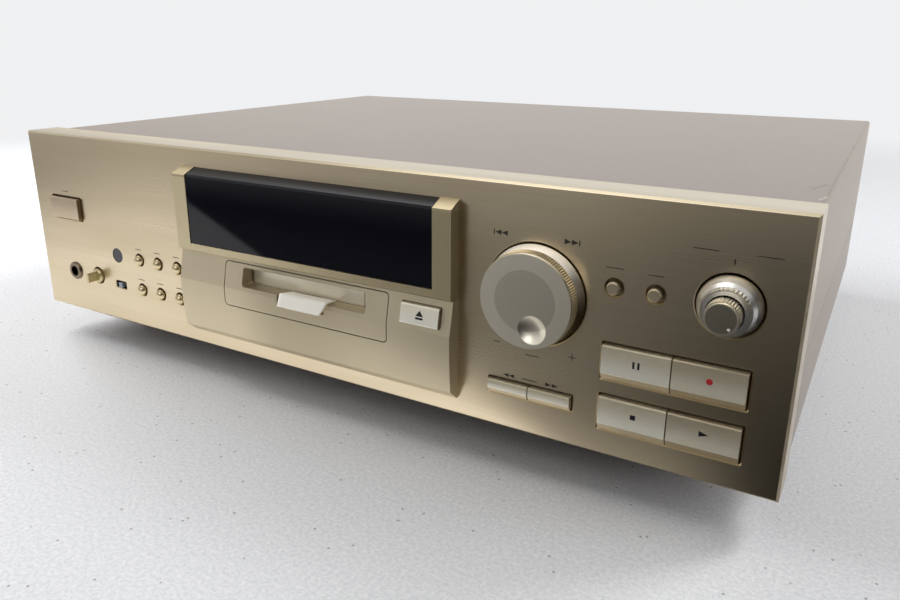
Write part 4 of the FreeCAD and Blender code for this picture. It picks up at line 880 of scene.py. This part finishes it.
def paperTab():
    # thin paper with a faint painted glow, as though lit from within; its colour, gloss and relief from
    # fibres 2.5 mm long
    # and 0.7 mm high; point = rows(v) followed along v, carried from left to right by u, with a slow curl:
    # curl sin(turns pi u)
    rows = np.array(tab["rows"], float)
    run = np.concatenate(([0], np.cumsum(np.hypot(*np.diff(rows[:, :2], axis=0).T))))
    along = np.linspace(0, run[-1], tab["steps"][0])
    reach, height, left, right = (np.interp(along, run, column)[:, None] for column in rows.T)
    across = np.linspace(0, 1, tab["steps"][1])
    x = left + (right - left) * across
    y = face - reach - tab["curl"] * np.sin(across * math.pi * tab["turns"])
    points = np.stack((x, y, edge + height + 0 * x), -1).reshape(-1, 3)
    # painted glow: emission lights the paper a little from within
    plain = {"Specular IOR Level": 0.3, "Emission Color": tab["light"], "Emission Strength": tab["glow"]}
    finish = Finish("tabPaper", plain)
    fibre = finish.noise(finish.place((400, 400, 1400)), 1, 4, 0.6)
    finish.give("Base Color", finish.mix(fibre, *tab["paper"]))
    finish.give("Roughness", fibre.step(0.3, 0.7, 0.55, 0.7))
    finish.give("Normal", finish.bump(fibre, 0.02))
    piece = addMesh("paper_tab", points, gridFaces(*tab["steps"]), "deck", finish.material)
    thick = piece.modifiers.new("thick", "SOLIDIFY")
    thick.thickness = tab["thick"] * mm
    thick.offset = 0


paperTab()
print("marks and tab made")


# jog dial with its fine grip
jog = {
    "place": (118.699, 82.1),  # x and z of the axis
    # outline from the cup behind to the grip: radius, reach before the panel
    "outline": ((18.5, -2.0), (21.7, -2.0), (21.7, 0.6), (20.2, 4.0), (19.6, 4.0), (19.6, 4.4)),
    "band": (4.4, 9.2, 20.1, 0.4),  # reach at its rear and front, radius of the valleys, height of the ribs
    "ribs": 120,
    "front": 10.2,  # reach and radius of the face
    "edge": 19.8,
    "rows": 0.2,  # between the rings of the face
    "dimple": (3.708, -11.413, 6.1, 2.0),  # x and z from the axis, radius, depth
    "crease": 28,  # degrees between faces from which an edge is sharp
}


def jogDial():
    # rings at (radius, reach), four points to a rib; the band's radius is valley + height
    # (1 + sin(ribs angle)) / 2, and inside the dimple the face sinks by the root of
    # (ball squared - distance squared) less (ball - depth)
    count = 4 * jog["ribs"]
    angle = np.arange(count) * 2 * math.pi / count
    rear, ahead, valley, rise = jog["band"]
    rib = valley + rise * (0.5 + 0.5 * np.sin(jog["ribs"] * angle))
    rings = [(np.full(count, radius), reach) for radius, reach in jog["outline"]]
    rings += [(rib, rear), (rib, ahead), (np.full(count, valley), ahead)]
    inner = np.append(np.arange(jog["edge"], 1.0, -jog["rows"]), (0.6, 0.2))
    rings += [(np.full(count, radius), jog["front"]) for radius in inner]
    radius = np.array([ring[0] for ring in rings])
    reach = np.array([ring[1] for ring in rings])[:, None] + 0 * radius
    x, z = radius * np.cos(angle), radius * np.sin(angle)
    across, up, width, depth = jog["dimple"]
    ball = (width ** 2 + depth ** 2) / (2 * depth)
    gap = np.hypot(x - across, z - up)
    sink = np.sqrt(np.clip(ball ** 2 - gap ** 2, 0, None)) - (ball - depth)
    dimpled = (reach > jog["front"] - 0.01) & (radius <= jog["edge"]) & (gap < width)
    reach = np.where(dimpled, reach - sink, reach)
    points = np.stack((x + jog["place"][0], face - reach, z + jog["place"][1]), -1).reshape(-1, 3)
    faces = gridFaces(len(rings), count, True).tolist()
    last = (len(rings) - 1) * count
    faces.append(list(range(last, last + count)))
    piece = addMesh("jog_grip", points, faces, "jog", nodes["jog_dial"].material_slots[0].material)
    piece.data.set_sharp_from_angle(angle=math.radians(jog["crease"]))
    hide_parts("jog_dial")
    print("jog dial:", len(points), "points")


jogDial()


# floor and light
studio = {
    "floor": tone(244, 244, 246),
    "floorLow": tone(220, 222, 226),
    "speck": tone(90, 84, 80),
    "reach": 9000,  # from the deck's middle to the floor's sides
    "back": (0.87, 0.875, 0.885, 1.0),  # world, and the floor far from the deck
    "worldDiffuse": 0.03,
    "worldGloss": 0.045,  # what polish sees where there is no window
    "glow": (420.0, 1300.0),  # where the floor starts to turn into the background, and where it has
}
lamps = {
    "leftLamp": {"place": (-1.2, 0.0, 0.8), "power": 19.0, "size": 0.8},
    "backLamp": {"place": (0.9, 0.7, 1.1), "power": 10.3, "size": 0.4},
    "rightLamp": {"place": (1.2, 0.1, 0.7), "power": 7.0, "size": 0.8},
    "frontLeftLamp": {"place": (-0.85, -0.6, 0.6), "power": 3.6, "size": 0.8},
    "frontLamp": {"place": (0.0, -1.2, 0.9), "power": 0.8, "size": 0.8},
}
windows = {
    # bright fields that polished parts see: degrees clockwise from the rear and upwards, cosine of the outer
    # radius
    "leftWindow": {"turn": 296, "rise": 66, "outer": 0.90, "soft": 0.07, "light": 3.5},
    "frontWindow": {"turn": 182, "rise": 27, "outer": 0.938, "soft": 0.05, "light": 2.5},
    "ceiling": {"turn": 310, "rise": 50, "outer": -0.2, "soft": 0.375, "light": 0.72},
    "rearWall": {"turn": 345, "rise": 22, "outer": 0.7, "soft": 0.25, "light": 0.5},
}
gleam = {
    # the floor in front as polished parts see it: each field's light, the x or y where it ends, and over how
    # many mm it does
    "span": (-2600, 1500, -1700, -172),  # x from and to, y from and to
    "lift": 3,
    "wedge": {
        "light": 0.95, "edge": 122.0, "slant": 1.87, "from": -190.0, "soft": 16.0, "left": -571.0,
        "leftSoft": 499.0, "end": -563.0, "endSoft": 80.0,
    },
    "beyond": {"light": 0.39, "edge": 0.0, "soft": 60.0, "endSoft": 150.0},
    "right": {"light": 0.19, "edge": 135.0, "soft": 150.0, "front": -400.0, "frontSoft": 440.0},
    "strip": {"light": 0.34, "left": 50.0, "edge": 190.0, "front": -212.0, "soft": 60.0},
    "near": {"share": 0.8, "width": 40.0},
    "base": 0.014,
    "most": 1.3,
}


def seenBy(tree, *rays):
    # 1 for the kinds of ray that are named
    seen = addNode(tree, "LightPath", output="Is %s Ray" % rays[0])
    for ray in rays[1:]:
        seen = seen.most(addNode(tree, "LightPath", output="Is %s Ray" % ray))
    return seen


def makeFloor():
    # fine cloth: 1.6 mm mottle in colour and relief, dark specks near the points of some 12 mm cells; lifted
    # for the eye and for polish far from the deck, and still holding the shadow
    finish = Finish("floorCloth", {"Roughness": 0.9, "Specular IOR Level": 0.1})
    mottle = finish.noise(finish.place(), 620, 4, 0.75)
    speck = finish.cells(finish.place(), 84, True).step(0.03, 0.06, 1.0, 0.0)
    speck = speck * finish.noise(finish.place(), 47, 1).step(0.54, 0.6)
    cloth = finish.mix(mottle.step(0.3, 0.7), studio["floorLow"], studio["floor"])
    finish.give("Base Color", finish.mix(speck * 0.6, cloth, studio["speck"]))
    finish.give("Normal", finish.bump(mottle, 0.12))
    tree = finish.tree
    x, y = finish.axes("XY")
    away = (x * x + y * y).root().step(*studio["glow"])
    lifted = seenBy(tree, "Camera", "Glossy", "Transmission") * away
    glow = addNode(tree, "Emission", None, {"Color": studio["back"]})
    cloth = Wire(tree, finish.shader.outputs[0])
    both = addNode(tree, "MixShader", None, {0: lifted, 1: cloth, 2: glow})
    plug(tree, tree.nodes["Material Output"].inputs[0], both)
    far = studio["reach"]
    corners = [(-far, -far, 0), (far, -far, 0), (far, far, 0), (-far, far, 0)]
    floor = addMesh("floor", corners, [(0, 1, 2, 3)], None, finish.material)


def below(value, edge, soft):
    # smooth fall from 1 to 0, soft mm wide about the edge
    return value.step(edge - soft / 2, edge + soft / 2, 1.0, 0.0)


def above(value, edge, soft):
    # smooth rise from 0 to 1, soft mm wide about the edge
    return value.step(edge - soft / 2, edge + soft / 2)


def makeGleam():
    # sheet that only polish sees, over the floor in front of the deck: a bright wedge that ends on a
    # slanting line, a dimmer field beyond it, both dimmed close to the deck, a faint one to the right and a
    # strip along the deck; light = (larger of wedge and field) dimming + faint + strip + base, all of them
    # smooth steps of x and y
    black = (0, 0, 0, 1)
    finish = Finish("floorGleam", {"Base Color": black, "Specular IOR Level": 0.0, "Emission Strength": 1.0})
    x, y = finish.axes("XY")
    wedge, beyond, right = gleam["wedge"], gleam["beyond"], gleam["right"]
    strip, near = gleam["strip"], gleam["near"]
    slanted = x - (y - wedge["from"]) * wedge["slant"]
    bright = below(slanted, wedge["edge"], wedge["soft"]) * above(x, wedge["left"], wedge["leftSoft"])
    bright = bright * above(y, wedge["end"], wedge["endSoft"]) * wedge["light"]
    dimmer = below(y, wedge["end"], beyond["endSoft"]) * below(x, beyond["edge"], beyond["soft"])
    dimmer = dimmer * beyond["light"]
    faint = below(x, right["edge"], right["soft"]) * above(y, right["front"], right["frontSoft"])
    faint = faint * right["light"]
    edging = above(x, strip["left"], strip["soft"]) * below(x, strip["edge"], strip["soft"])
    edging = edging * above(y, strip["front"], strip["soft"]) * strip["light"]
    left, end, front, back = gleam["span"]
    close = y.step(back - near["width"], back, 1.0, near["share"])
    most = gleam["most"]
    share = (bright.most(dimmer) * close + faint + edging + gleam["base"]) / most
    finish.give("Emission Color", finish.mix(share, black, (most, most, most, 1)))
    lift = gleam["lift"]
    corners = [(left, front, lift), (end, front, lift), (end, back, lift), (left, back, lift)]
    sheet = addMesh("floorGleam", corners, [(0, 1, 2, 3)], None, finish.material)
    sheet.visible_camera = False
    sheet.visible_shadow = False
    sheet.visible_diffuse = False


def makeWorld():
    # plain for the eye, dim for soft light, and for polish the sum of the windows:
    # light * smooth rise of (direction . window - outer) over its soft edge
    world = bpy.data.worlds.new("studio")
    scene.world = world
    world.use_nodes = True
    tree = world.node_tree
    where = addNode(tree, "TexCoord", output="Generated")
    gloss = studio["worldGloss"]
    for window in windows.values():
        turn, rise = math.radians(window["turn"]), math.radians(window["rise"])
        aim = (math.sin(turn) * math.cos(rise), math.cos(turn) * math.cos(rise), math.sin(rise))
        near = addNode(tree, "VectorMath", {"operation": "DOT_PRODUCT"}, {0: where, 1: aim}, "Value")
        gloss = near.step(window["outer"], window["outer"] + window["soft"], 0.0, window["light"]) + gloss
    eye = seenBy(tree, "Camera", "Transmission")
    polish = seenBy(tree, "Glossy")
    strength = eye + polish * gloss + (1.0 - eye.most(polish)) * studio["worldDiffuse"]
    back = tree.nodes["Background"]
    plug(tree, back.inputs["Color"], studio["back"])
    plug(tree, back.inputs["Strength"], strength)


def makeLamps():
    # square lamps, in metres, that face the deck and light its matt side; polish sees the windows instead
    for name, lamp in lamps.items():
        data = bpy.data.lights.new(name, "AREA")
        data.shape = "SQUARE"
        data.size = lamp["size"]
        data.energy = lamp["power"]
        light = bpy.data.objects.new(name, data)
        place = Vector(lamp["place"])
        light.location = place
        light.rotation_euler = (-place).to_track_quat("-Z", "Y").to_euler()
        light.visible_camera = False
        light.visible_glossy = False
        scene.collection.objects.link(light)


makeFloor()
makeGleam()
makeWorld()
makeLamps()
scene.view_settings.view_transform = "Standard"
print("studio made")
